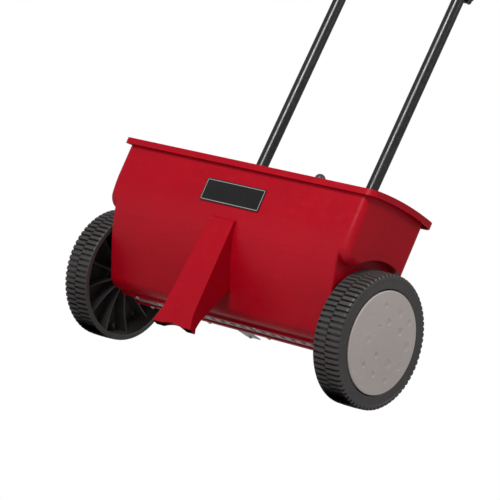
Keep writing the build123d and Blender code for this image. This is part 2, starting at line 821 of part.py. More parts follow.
# At each tube: a saddle, its two screws, a carriage bolt and a wing nut; further up,
# the bolt and the star knob of the joint in the handle
saddle_y = tube_y + saddle_along * tan(radians(tube_lean))
saddle_back_y = saddle_y + tube_radius + 3.5
for side in (-1, 1):
    x = side * tube_x
    with BuildPart() as saddle:
        with BuildSketch(level(saddle_along - saddle_height / 2)):
            with Locations((x, back_y + saddle_ear / 2)):
                RectangleRounded(2 * saddle_screw_x + 12, saddle_ear, 1)
            with Locations((x, (back_y + saddle_back_y) / 2)):
                RectangleRounded(2 * tube_radius + 7, saddle_back_y - back_y, 3)
        extrude(amount=saddle_height)
        add(tube_rod(x, saddle_along - 40, saddle_along + 40, tube_radius), mode=Mode.SUBTRACT)
        with BuildSketch(facing(back_y)):
            Rectangle(2 * reach, 2 * reach)
        extrude(amount=reach, mode=Mode.SUBTRACT)
        with BuildSketch(facing(saddle_back_y + 1)):
            with Locations((x, saddle_along)):
                Circle(bolt_radius)
        extrude(amount=saddle_back_y - back_y + 2, mode=Mode.SUBTRACT)
        with BuildSketch(facing(back_y + saddle_ear + 1)):
            with Locations((x - saddle_screw_x, saddle_along), (x + saddle_screw_x, saddle_along)):
                Circle(screw_radius)
        extrude(amount=saddle_ear + 2, mode=Mode.SUBTRACT)
    saddle.part.label = f"tube_saddle_{tag[side]}"
    export_step(saddle.part, f"parts/{saddle.part.label}.step")

    for k in (-1, 1):
        with BuildPart() as screw:
            with BuildSketch(facing(back_y + saddle_ear + 2)):
                with Locations((x + k * saddle_screw_x, saddle_along)):
                    Circle(screw_head)
            extrude(amount=2)
            with BuildSketch(facing(back_y + saddle_ear)):
                with Locations((x + k * saddle_screw_x, saddle_along)):
                    Circle(screw_radius)
            extrude(amount=saddle_ear + wall + 2)
        screw.part.label = f"saddle_screw_{tag[side]}_{'inner' if k * side < 0 else 'outer'}"
        export_step(screw.part, f"parts/{screw.part.label}.step")

    with BuildPart() as bolt:
        with BuildSketch(facing(saddle_y - tube_radius)):
            with Locations((x, saddle_along)):
                Circle(bolt_head)
        extrude(amount=wall + 3)
        chamfer(bolt.edges().group_by(Axis((0, 0, 0), machine.y_dir))[0], 1.6)
        add(tube_rod(x, saddle_along - 40, saddle_along + 40, tube_radius + wall), mode=Mode.SUBTRACT)
        with BuildSketch(facing(saddle_back_y + nut_height + 3)):
            with Locations((x, saddle_along)):
                Circle(bolt_radius)
        extrude(amount=nut_height + 3 + saddle_back_y - saddle_y + tube_radius + wall + 1)
    bolt.part.label = f"saddle_bolt_{tag[side]}"
    export_step(bolt.part, f"parts/{bolt.part.label}.step")

    with BuildPart() as nut:
        with BuildSketch(facing(saddle_back_y + nut_height)):
            with Locations((x, saddle_along)):
                Circle(bolt_radius + 3)
        extrude(amount=nut_height)
        with BuildSketch(across(x - 1.2)):
            with BuildLine():
                Polyline(
                    (saddle_back_y + 1.5, saddle_along + 2),
                    (saddle_back_y + nut_height + 7, saddle_along + 9),
                    (saddle_back_y + nut_height + 6, saddle_along + 16),
                    (saddle_back_y + 5, saddle_along + 11),
                    close=True,
                )
            make_face()
            mirror(about=Plane.XZ.offset(-saddle_along))
        extrude(amount=2.4)
        with BuildSketch(facing(saddle_back_y + nut_height + 1)):
            with Locations((x, saddle_along)):
                Circle(bolt_radius)
        extrude(amount=nut_height + 2, mode=Mode.SUBTRACT)
    nut.part.label = f"wing_nut_{tag[side]}"
    export_step(nut.part, f"parts/{nut.part.label}.step")

    joint = station_side(x, joint_bolt_along)
    with BuildPart() as bolt:
        with BuildSketch(joint.offset(-tube_radius - 2.6)):
            Circle(bolt_head - 1)
        extrude(amount=6)
        add(tube_rod(x, joint_bolt_along - 30, joint_bolt_along + 30, tube_radius), mode=Mode.SUBTRACT)
        with BuildSketch(joint.offset(-tube_radius)):
            Circle(bolt_radius)
        extrude(amount=2 * tube_radius + nut_height + 2)
    bolt.part.label = f"joint_bolt_{tag[side]}"
    export_step(bolt.part, f"parts/{bolt.part.label}.step")

    with BuildPart() as knob:
        with BuildSketch(joint.offset(tube_radius - 2)):
            Circle(7)
        extrude(amount=5)
        with BuildSketch(joint.offset(tube_radius + 3)):
            Circle(star_radius - 3)
            with PolarLocations(star_radius - 4, star_lobes):
                Circle(4)
        extrude(amount=nut_height)
        add(tube_rod(x, joint_bolt_along - 30, joint_bolt_along + 30, tube_radius), mode=Mode.SUBTRACT)
        with BuildSketch(joint.offset(tube_radius - 4)):
            Circle(bolt_radius)
        extrude(amount=nut_height + 6, mode=Mode.SUBTRACT)
    knob.part.label = f"star_knob_{tag[side]}"
    export_step(knob.part, f"parts/{knob.part.label}.step")

# Quadrant behind the hopper, notched along its edge, and its two screws
with BuildPart() as quadrant:
    with BuildSketch(facing(quadrant_back_y + quadrant_thickness)):
        with Locations((0, pivot_z)):
            Circle(quadrant_radius)
            Circle(quadrant_radius - quadrant_band, mode=Mode.SUBTRACT)
            slope = tan(radians(90 - quadrant_reach)) * reach
            with BuildLine(mode=Mode.PRIVATE) as wedge_line:
                Polyline(
                    (0, pivot_z),
                    (reach, pivot_z + slope),
                    (-reach, pivot_z + slope),
                    close=True,
                )
        make_face(wedge_line.edges(), mode=Mode.INTERSECT)
        with Locations((0, pivot_z)):
            with PolarLocations(quadrant_radius, quadrant_notches,
                                start_angle=90 - 14.8, angular_range=29.6, endpoint=True):
                Circle(1.6, mode=Mode.SUBTRACT)
            with PolarLocations(quadrant_radius - quadrant_band / 2, 2,
                                start_angle=90 - 18, angular_range=36, endpoint=True):
                Circle(screw_radius, mode=Mode.SUBTRACT)
    extrude(amount=quadrant_thickness)
quadrant.part.label = "dose_quadrant"
export_step(quadrant.part, "parts/dose_quadrant.step")

for k in (-1, 1):
    angle = radians(90 - 18 * k)
    ring = quadrant_radius - quadrant_band / 2
    spot = (ring * cos(angle), pivot_z + ring * sin(angle))
    with BuildPart() as screw:
        with BuildSketch(facing(quadrant_back_y + quadrant_thickness + 2)):
            with Locations(spot):
                Circle(screw_head)
        extrude(amount=2)
        with BuildSketch(facing(quadrant_back_y + quadrant_thickness)):
            with Locations(spot):
                Circle(screw_radius)
        extrude(amount=quadrant_thickness + 6)
    screw.part.label = f"quadrant_screw_{tag[k]}"
    export_step(screw.part, f"parts/{screw.part.label}.step")

# Dose lever: a flat bar on a pivot, with a round finger in the shutter's window
finger_z = shutter_top_z - shutter_thickness / 2
lever_back_y = lever_y + lever_thickness + 2 * running_clearance
with BuildPart() as lever:
    with BuildSketch(facing(lever_back_y - running_clearance)):
        with Locations((0, pivot_z)):
            Circle(12)
        with BuildLine():
            Polyline(
                (-8, pivot_z + 4),
                (8, pivot_z + 4),
                (5, lever_top_z),
                (-5, lever_top_z),
                close=True,
            )
        make_face()
        with BuildLine():
            Polyline(
                (-6.5, pivot_z - 6),
                (6.5, pivot_z - 6),
                (finger_radius * 0.62, finger_z),
                (-finger_radius * 0.62, finger_z),
                close=True,
            )
        make_face()
        with Locations((0, finger_z)):
            Circle(finger_radius)
        with Locations((0, pivot_z)):
            Circle(pivot_radius + running_clearance, mode=Mode.SUBTRACT)
    extrude(amount=lever_thickness)
lever.part.label = "dose_lever"
export_step(lever.part, "parts/dose_lever.step")

knob_section = Plane(origin=at(0, knob_y, 0), x_dir=machine.x_dir, z_dir=-machine.y_dir)
with BuildPart() as knob:
    with BuildSketch(knob_section):
        with BuildLine():
            dome = ThreePointArc(
                (0, knob_top_z),
                (knob_radius * 0.72, knob_top_z - 2.4),
                (knob_radius, knob_top_z - knob_radius),
            )
            Polyline(
                dome @ 1,
                (knob_radius - 1.2, knob_top_z - knob_length + 6),
                (knob_radius - 2.2, knob_top_z - knob_length),
                (0, knob_top_z - knob_length),
                dome @ 0,
            )
        make_face()
    revolve(axis=Axis(at(0, knob_y, 0), machine.z_dir))
    # socket over the lever's end, which stands forward of the knob's middle
    add(lever.part, mode=Mode.SUBTRACT)
knob.part.label = "lever_knob"
export_step(knob.part, "parts/lever_knob.step")

with BuildPart() as pivot:
    with BuildSketch(facing(lever_back_y + 4)):
        with Locations((0, pivot_z)):
            Circle(bolt_head - 1.5)
    extrude(amount=3)
    with BuildSketch(facing(lever_back_y + 1)):
        with Locations((0, pivot_z)):
            Circle(bolt_head + 1)
    extrude(amount=1)
    with BuildSketch(facing(lever_back_y)):
        with Locations((0, pivot_z)):
            Circle(pivot_radius)
    extrude(amount=lever_back_y - lever_y + 12)
pivot.part.label = "pivot_screw"
export_step(pivot.part, "parts/pivot_screw.step")
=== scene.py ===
"""Looks of a walk-behind drop spreader for a lawn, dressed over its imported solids.

Lengths are metres. The spreader stands parked on its wheels and its front foot, and the camera
looks at it from below its floor, because in the photograph it is tilted back as it is when pushed.
"""

import logging
import math
from dataclasses import dataclass, field
from enum import Enum
from typing import Protocol, Sequence

import bmesh
import bpy
import numpy as np
from mathutils import Matrix, Vector


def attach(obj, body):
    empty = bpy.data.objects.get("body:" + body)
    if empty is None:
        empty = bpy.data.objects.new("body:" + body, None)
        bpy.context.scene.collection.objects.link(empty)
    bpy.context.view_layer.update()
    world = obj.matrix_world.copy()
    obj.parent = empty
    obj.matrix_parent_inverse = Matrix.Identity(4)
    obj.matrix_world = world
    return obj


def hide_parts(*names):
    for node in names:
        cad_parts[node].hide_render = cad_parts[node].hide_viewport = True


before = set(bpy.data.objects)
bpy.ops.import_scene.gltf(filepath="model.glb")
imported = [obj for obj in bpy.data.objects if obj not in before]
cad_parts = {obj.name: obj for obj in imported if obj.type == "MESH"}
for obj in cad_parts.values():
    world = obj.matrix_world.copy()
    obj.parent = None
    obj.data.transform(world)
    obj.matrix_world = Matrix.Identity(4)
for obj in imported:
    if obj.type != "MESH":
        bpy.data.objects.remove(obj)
log = logging.getLogger("lawn_spreader")
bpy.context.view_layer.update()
MERGE = 2e-6
ALMOST_ZERO = 1e-6
COPLANAR = math.radians(0.2)
Colour = tuple[float, float, float]
Point = tuple[float, float, float]
Array = np.ndarray


class Body(Enum):
    """Rigid bodies of the spreader, by their names in the record."""

    CHASSIS = "chassis"
    DRIVE = "drive_axle"
    FREE = "free_wheel"
    LEVER = "lever"
    SHUTTER = "shutter_plate"


class Unit(Protocol):
    """A sub-assembly that builds and dresses its own pieces."""

    def build(self) -> None:
        """Build the pieces."""


class Side(Enum):
    """The two ends of the axle; the value is the sign of X."""

    LEFT = -1
    RIGHT = 1

    @property
    def word(self) -> str:
        """The side's word in node names."""
        return self.name.lower()

    @property
    def wheel_body(self) -> Body:
        """The body that turns with this side's wheel."""
        return Body.DRIVE if self is Side.LEFT else Body.FREE


@dataclass(frozen=True)
class Stance:
    """How the hopper's own frame, with its origin in the axle, leans forward onto the foot.

    The lean brings the toe down to the wheels' level: it is the toe's angle from straight down,
    less the angle whose cosine is the wheels' radius over the toe's reach. The row frame's origin
    lies half way between the rim's front and the wheels' rear.
    """

    toe: tuple[float, float] = (-0.1247, -0.0825)
    rim_front: tuple[float, float] = (-0.1196, 0.1845)
    axle_z: float = 0.1

    @property
    def lean(self) -> float:
        """The lean in radians."""
        reach = math.hypot(*self.toe)
        return math.atan2(-self.toe[0], -self.toe[1]) - math.acos(self.axle_z / reach)

    @property
    def axle_y(self) -> float:
        """The axle's distance behind the row frame's origin."""
        y, z = self.rim_front
        return (z * math.sin(self.lean) - y * math.cos(self.lean) - self.axle_z) / 2

    def row(self, points: Array) -> Array:
        """Turn points of the leaning frame into the row frame.

        Args:
            points: Array whose last axis is x, y, z in the leaning frame.

        Returns:
            The same points in the row frame: y and z turn about the axle by the lean.
        """
        p = np.asarray(points, float)
        c, s = math.cos(self.lean), math.sin(self.lean)
        y = self.axle_y + p[..., 1] * c - p[..., 2] * s
        z = self.axle_z + p[..., 1] * s + p[..., 2] * c
        return np.stack([p[..., 0], y, z], axis=-1)

    def turn(self, vector: Sequence[float]) -> Array:
        """Turn a direction of the leaning frame into the row frame."""
        return self.row(np.asarray(vector)) - self.row(np.zeros(3))


STANCE = Stance()


def smoothstep(value: Array, low: float, high: float) -> Array:
    """Rise from 0 to 1 between low and high along 3t^2 - 2t^3, flat at both ends."""
    t = np.clip((value - low) / (high - low), 0.0, 1.0)
    return t * t * (3 - 2 * t)


class Graph:
    """The nodes of one material, with a short call for each kind used here."""

    def __init__(self, name: str) -> None:
        """Start a material that holds only its surface shader."""
        self.material = bpy.data.materials.new(name)
        self.material.use_nodes = True
        self.nodes = self.material.node_tree.nodes
        self.links = self.material.node_tree.links
        self.shader = self.nodes["Principled BSDF"]
        self.place = self.nodes.new("ShaderNodeTexCoord").outputs["Object"]

    def set(self, **values: object) -> None:
        """Set the shader's sockets.

        Args:
            values: Socket names, with their spaces as underscores, and what goes into each: a
                node's output is linked, a colour gets an alpha of 1, and a number is set.
        """
        for name, value in values.items():
            socket = self.shader.inputs[name.replace("_", " ")]
            if isinstance(value, bpy.types.NodeSocket):
                self.links.new(value, socket)
            elif isinstance(value, tuple):
                socket.default_value = (*value, 1.0)
            else:
                socket.default_value = value

    def stretched(self, scale: Point) -> bpy.types.NodeSocket:
        """The place on the piece, scaled by a different factor along each axis.

        Args:
            scale: The three factors.

        Returns:
            The scaled place.
        """
        node = self.nodes.new("ShaderNodeMapping")
        node.inputs["Scale"].default_value = scale
        self.links.new(self.place, node.inputs["Vector"])
        return node.outputs["Vector"]

    def noise(
        self,
        scale: float,
        detail: float = 2.0,
        rough: float = 0.5,
        place: bpy.types.NodeSocket | None = None,
    ) -> bpy.types.NodeSocket:
        """Fractal noise, from 0 to 1.

        Args:
            scale: Waves per metre.
            detail: Number of finer octaves.
            rough: How strong each finer octave is.
            place: Where the noise is read, or the place on the piece.

        Returns:
            The noise.
        """
        node = self.nodes.new("ShaderNodeTexNoise")
        node.inputs["Scale"].default_value = scale
        node.inputs["Detail"].default_value = detail
        node.inputs["Roughness"].default_value = rough
        self.links.new(place or self.place, node.inputs["Vector"])
        return node.outputs["Fac"]

    def cells(self, scale: float) -> bpy.types.NodeSocket:
        """Distance to the nearest of scattered points.

        Args:
            scale: Points per metre.

        Returns:
            The distance, in cells.
        """
        node = self.nodes.new("ShaderNodeTexVoronoi")
        node.inputs["Scale"].default_value = scale
        self.links.new(self.place, node.inputs["Vector"])
        return node.outputs["Distance"]

    def span(
        self, value: bpy.types.NodeSocket, low: float, high: float, to_low: float, to_high: float
    ) -> bpy.types.NodeSocket:
        """Stretch a value from one range onto another, clamped at both ends.

        Args:
            value: The value.
            low: Value that becomes to_low.
            high: Value that becomes to_high.
            to_low: Result at the low end.
            to_high: Result at the high end.

        Returns:
            The stretched value.
        """
        node = self.nodes.new("ShaderNodeMapRange")
        self.links.new(value, node.inputs["Value"])
        for name, number in (
            ("From Min", low), ("From Max", high), ("To Min", to_low), ("To Max", to_high)
        ):
            node.inputs[name].default_value = number
        return node.outputs["Result"]

    def mix(
        self,
        factor: bpy.types.NodeSocket,
        a: Colour | bpy.types.NodeSocket,
        b: Colour | bpy.types.NodeSocket,
    ) -> bpy.types.NodeSocket:
        """Blend two colours.

        Args:
            factor: Share of the second colour, from 0 to 1.
            a: The first colour.
            b: The second colour.

        Returns:
            The blended colour.
        """
        node = self.nodes.new("ShaderNodeMix")
        node.data_type = "RGBA"
        self.links.new(factor, node.inputs["Factor"])
        for name, colour in (("A", a), ("B", b)):
            socket = next(s for s in node.inputs if s.name == name and s.type == "RGBA")
            if isinstance(colour, bpy.types.NodeSocket):
                self.links.new(colour, socket)
            else:
                socket.default_value = (*colour, 1.0)
        return next(s for s in node.outputs if s.type == "RGBA")

    def bump(
        self,
        height: bpy.types.NodeSocket,
        depth: float,
        over: bpy.types.NodeSocket | None = None,
        strength: float = 1.0,
    ) -> bpy.types.NodeSocket:
        """Tilt the shading normal by a height.

        Args:
            height: The height, where 1 stands for the depth.
            depth: Depth in metres.
            over: A normal that is already tilted, or none.
            strength: Share of the tilt that is used.

        Returns:
            The tilted normal.
        """
        node = self.nodes.new("ShaderNodeBump")
        node.inputs["Strength"].default_value = strength
        node.inputs["Distance"].default_value = depth
        self.links.new(height, node.inputs["Height"])
        if over is not None:
            self.links.new(over, node.inputs["Normal"])
        return node.outputs["Normal"]


@dataclass(frozen=True)
class Finish:
    """A surface finish. Each kind of finish says in nodes how it looks."""

    name: str
    colour: Colour

    def nodes(self, graph: Graph) -> None:
        """Wire the finish; each kind does this its own way.

        Args:
            graph: The material's nodes.
        """
        raise NotImplementedError

    def material(self) -> bpy.types.Material:
        """The finish's material, made once and then shared.

        Returns:
            The material.
        """
        known = bpy.data.materials.get(self.name)
        if known:
            return known
        graph = Graph(self.name)
        self.nodes(graph)
        return graph.material


@dataclass(frozen=True)
class MouldedPlastic(Finish):
    """Injection-moulded plastic: flow mottling, a fine spark-eroded grain and soft scuffs."""

    tint: Colour = (0.02, 0.02, 0.02)
    tint_amount: float = 0.35
    roughness: float = 0.42
    spread: float = 0.10
    grain: float = 1400.0
    grain_depth: float = 0.00006
    scuff: float = 0.25
    specular: float = 0.5
    clouds_per_metre: float = 9.0
    gloss_per_metre: float = 60.0
    waves_per_metre: float = 55.0
    wave_depth: float = 0.0006
    scuff_grid: Point = (34.0, 34.0, 150.0)

    def nodes(self, graph: Graph) -> None:
        """Colour drifts towards the tint in broad clouds; scuffs and grain change the gloss.

        Args:
            graph: The material's nodes.
        """
        clouds = graph.noise(self.clouds_per_metre, 3.0)
        drift = graph.span(clouds, 0.35, 0.72, 0.0, self.tint_amount)
        body = graph.mix(drift, self.colour, self.tint)
        rubs = graph.noise(1.0, 4.0, 0.62, graph.stretched(self.scuff_grid))
        rubbed = graph.span(rubs, 0.56, 0.70, 0.0, self.scuff)
        paler = tuple(min(1.0, c * 1.22 + 0.006) for c in self.colour)
        graph.set(Base_Color=graph.mix(rubbed, body, paler))
        gloss = graph.noise(self.gloss_per_metre, 4.0, 0.6)
        low, high = self.roughness - self.spread, self.roughness + self.spread
        graph.set(Roughness=graph.span(gloss, 0.3, 0.7, low, high))
        waves = graph.bump(graph.noise(self.waves_per_metre, 2.0), self.wave_depth, strength=0.25)
        pits = graph.bump(graph.cells(self.grain), self.grain_depth, waves, 0.6)
        graph.set(Normal=pits, Specular_IOR_Level=self.specular)


@dataclass(frozen=True)
class PowderCoat(Finish):
    """Powder-coated steel: a fine orange-peel skin with long light wear."""

    roughness: float = 0.34
    peel: float = 900.0
    peel_depth: float = 0.00005
    wear_grid: Point = (70.0, 70.0, 12.0)
    haze_per_metre: float = 120.0

    def nodes(self, graph: Graph) -> None:
        """Peel comes from two noises; wear shows as a slightly paler film in long streaks.

        Args:
            graph: The material's nodes.
        """
        streaks = graph.noise(1.0, 3.0, 0.6, graph.stretched(self.wear_grid))
        film = graph.span(streaks, 0.5, 0.75, 0, 0.6)
        worn = tuple(c * 1.9 + 0.004 for c in self.colour)
        graph.set(Base_Color=graph.mix(film, self.colour, worn))
        haze = graph.noise(self.haze_per_metre, 3.0)
        low, high = self.roughness - 0.07, self.roughness + 0.1
        graph.set(Roughness=graph.span(haze, 0.3, 0.7, low, high))
        coarse = graph.bump(graph.noise(self.peel / 3, 2.0), self.peel_depth * 2, strength=0.5)
        graph.set(Normal=graph.bump(graph.noise(self.peel, 3.0), self.peel_depth, coarse, 0.7))


@dataclass(frozen=True)
class ZincPlate(Finish):
    """Bright zinc plating: metal with faint clouding and drawn lines."""

    dull: Colour = (0.36, 0.36, 0.35)
    roughness: float = 0.30
    drawn: Point = (60.0, 900.0, 900.0)
    clouds_per_metre: float = 70.0
    line_depth: float = 0.00003

    def nodes(self, graph: Graph) -> None:
        """Clouds dull the plating, and the drawn lines run along the axis of the least scale.

        Args:
            graph: The material's nodes.
        """
        graph.set(Metallic=1.0)
        clouds = graph.noise(self.clouds_per_metre, 4.0, 0.6)
        dulled = graph.span(clouds, 0.4, 0.75, 0.0, 0.8)
        graph.set(Base_Color=graph.mix(dulled, self.colour, self.dull))
        lines = graph.noise(1.0, 3.0, 0.6, graph.stretched(self.drawn))
        low, high = self.roughness - 0.08, self.roughness + 0.16
        graph.set(Roughness=graph.span(lines, 0.3, 0.7, low, high))
        graph.set(Normal=graph.bump(lines, self.line_depth, strength=0.5))


@dataclass(frozen=True)
class ClosedCellFoam(Finish):
    """Foam sleeve: a matt skin of fine open pits."""

    roughness: float = 0.82
    cell: float = 1500.0
    pit_depth: float = 0.00025
    use_per_metre: float = 45.0
    dents_per_metre: float = 140.0
    dent_depth: float = 0.0008

    def nodes(self, graph: Graph) -> None:
        """Painted shade darkens the foam in its bump pits; broad noise gives it the pressed look of
        use.

        Args:
            graph: The material's nodes.
        """
        # painted shade: the colour is darkened where the same cells sink the bump into pits
        pits = graph.span(graph.cells(self.cell), 0.1, 0.6, 0.0, 1.0)
        pit_shade_colour = tuple(c * 0.45 for c in self.colour)
        skin = graph.mix(pits, pit_shade_colour, self.colour)
        use = graph.span(graph.noise(self.use_per_metre, 3.0), 0.4, 0.7, 0.0, 0.45)
        rubbed = tuple(c * 1.6 for c in self.colour)
        graph.set(Base_Color=graph.mix(use, skin, rubbed))
        graph.set(Roughness=self.roughness, Sheen_Weight=0.15, Sheen_Roughness=0.5)
        dents = graph.bump(graph.noise(self.dents_per_metre, 2.0), self.dent_depth, strength=0.35)
        graph.set(Normal=graph.bump(graph.cells(self.cell), self.pit_depth, dents, 0.8))


RED = MouldedPlastic(
    "red_polypropylene", (0.385, 0.0008, 0.0100), (0.30, 0.0010, 0.0085), 0.5, 0.34, 0.07, 1300.0,
    specular=0.18,
)
TYRE = MouldedPlastic(
    "black_wheel_plastic", (0.052, 0.048, 0.047), (0.034, 0.031, 0.030), 0.7, 0.44, 0.10, 1100.0
)
CAP = MouldedPlastic(
    "warm_grey_cap", (0.455, 0.405, 0.385), (0.40, 0.36, 0.345), 0.6, 0.46, 0.08, 1200.0, 0.00004
)
BLACK = MouldedPlastic(
    "black_fittings", (0.022, 0.022, 0.023), (0.034, 0.033, 0.032), 0.6, 0.46, 0.10, 1600.0
)
KNOB = MouldedPlastic(
    "dark_grey_knob", (0.055, 0.055, 0.058), (0.035, 0.035, 0.037), 0.6, 0.42, 0.08, 1500.0
)
PLATE = MouldedPlastic(
    "gloss_black_plate", (0.006, 0.006, 0.007), (0.010, 0.010, 0.011), 0.5, 0.24, 0.05, 2600.0,
    grain_depth=0.00001,
)
BORDER = MouldedPlastic(
    "light_border", (0.40, 0.39, 0.38), (0.30, 0.29, 0.28), 0.5, 0.40, 0.06, 2200.0, 0.00001
)
TUBE = PowderCoat("black_powder_coat", (0.014, 0.014, 0.015), roughness=0.24)
ZINC = ZincPlate("zinc_plate", (0.58, 0.59, 0.60))
STEEL = ZincPlate("zinc_fasteners", (0.60, 0.60, 0.61), roughness=0.26, drawn=(420.0, 420.0, 420.0))
FOAM = ClosedCellFoam("grip_foam", (0.030, 0.030, 0.031))


class Mesh:
    """Vertices and faces being gathered, as arrays, before they become a piece."""

    def __init__(self) -> None:
        """Start with nothing."""
        self.verts: list[Array] = []
        self.faces: list[list[int]] = []
        self.count = 0

    def add(self, verts: Array, faces: Array | list[list[int]]) -> None:
        """Add a part.

        Args:
            verts: Its vertices, as an array whose last axis is x, y, z.
            faces: Its faces, which count from its own first vertex.
        """
        flat = np.asarray(verts, float).reshape(-1, 3)
        self.faces.extend([[int(i) + self.count for i in face] for face in faces])
        self.verts.append(flat)
        self.count += len(flat)

    def grid(self, points: Array, wrap_rows: bool = False, wrap_cols: bool = False) -> None:
        """Add a surface given as a grid of points.

        Args:
            points: Array of shape (rows, cols, 3).
            wrap_rows: Whether the last row joins the first.
            wrap_cols: Whether the last column joins the first.
        """
        rows, cols = points.shape[:2]
        i = np.arange(rows if wrap_rows else rows - 1)
        j = np.arange(cols if wrap_cols else cols - 1)
        a, b = np.meshgrid(i, j, indexing="ij")
        a2, b2 = (a + 1) % rows, (b + 1) % cols
        quads = np.stack([a * cols + b, a2 * cols + b, a2 * cols + b2, a * cols + b2], axis=-1)
        self.add(points, quads.reshape(-1, 4))

    def piece(self, name: str, smooth: float = 35.0) -> bpy.types.Object:
        """Make the gathered parts one object, merged, facing outwards and shaded.

        Args:
            name: Name of the piece.
            smooth: Angle in degrees under which two faces shade as one surface.

        Returns:
            The piece, at the origin, linked to the scene.
        """
        mesh = bpy.data.meshes.new(name)
        mesh.from_pydata(np.concatenate(self.verts).tolist(), [], self.faces)
        return finished(name, mesh, smooth, ALMOST_ZERO)


def finished(name: str, mesh: bpy.types.Mesh, smooth: float, merge: float) -> bpy.types.Object:
    """Merge a mesh's doubles, point its faces outwards, shade it and make it an object.

    Args:
        name: Name of the piece.
        mesh: The mesh, with its place in its vertices.
        smooth: Angle in degrees under which two faces shade as one surface.
        merge: Distance under which two vertices become one.

    Returns:
        The object, at the origin, linked to the scene.
    """
    bm = bmesh.new()
    bm.from_mesh(mesh)
    bmesh.ops.remove_doubles(bm, verts=bm.verts, dist=merge)
    bmesh.ops.dissolve_degenerate(bm, edges=bm.edges, dist=merge / 2)
    bmesh.ops.recalc_face_normals(bm, faces=bm.faces)
    limit = math.radians(smooth)
    for face in bm.faces:
        face.smooth = True
    for edge in bm.edges:
        edge.smooth = len(edge.link_faces) == 2 and edge.calc_face_angle(0.0) <= limit
    bm.to_mesh(mesh)
    bm.free()
    mesh.update()
    piece = bpy.data.objects.new(name, mesh)
    bpy.context.scene.collection.objects.link(piece)
    return piece


def dress(piece: bpy.types.Object, finish: Finish, body: Body, slot: str, *nodes: str) -> None:
    """Give a new piece its finish and body, and let it stand for its nodes.

    Args:
        piece: The new piece.
        finish: Its finish.
        body: The rigid body that it rides on.
        slot: The record's material slot; not used.
        nodes: The CAD nodes that it stands for, or none where it lies on one.
    """
    piece.data.materials.clear()
    piece.data.materials.append(finish.material())
    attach(piece, body.value)
    if nodes:
        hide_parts(*nodes)
    log.info("%s: %d faces, rides on %s", piece.name, len(piece.data.polygons), body.value)


def coat(finish: Finish, *nodes: str) -> None:
    """Give CAD nodes that stay as they are their finish.

    Args:
        finish: The finish.
        nodes: The CAD nodes.
    """
    for node in nodes:
        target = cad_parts[node]
        target.data.materials.clear()
        target.data.materials.append(finish.material())
        log.info("%s: %s", node, finish.name)


def eased(
    node: str, finish: Finish, body: Body, slot: str, edge: float, smooth: float = 40.0
) -> None:
    """Show a node by a copy with its sharp edges rounded.

    Args:
        node: CAD node to copy and stand for.
        finish: Finish of the copy.
        body: Body that the node belongs to.
        slot: The record's material slot.
        edge: Width of the rounding in metres.
        smooth: Shading angle in degrees.
    """
    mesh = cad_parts[node].data.copy()
    bm = bmesh.new()
    bm.from_mesh(mesh)
    bmesh.ops.remove_doubles(bm, verts=bm.verts, dist=MERGE)
    bmesh.ops.dissolve_limit(
        bm, angle_limit=COPLANAR, verts=bm.verts, edges=bm.edges, delimit={"NORMAL"}
    )
    bm.to_mesh(mesh)
    bm.free()
    piece = finished(f"{node}_eased", mesh, smooth, MERGE)
    bevel = piece.modifiers.new("rounded_edges", "BEVEL")
    bevel.width = edge
    bevel.segments = 2
    bevel.limit_method = "ANGLE"
    bevel.angle_limit = math.radians(smooth)
    bevel.harden_normals = True
    dress(piece, finish, body, slot, node)


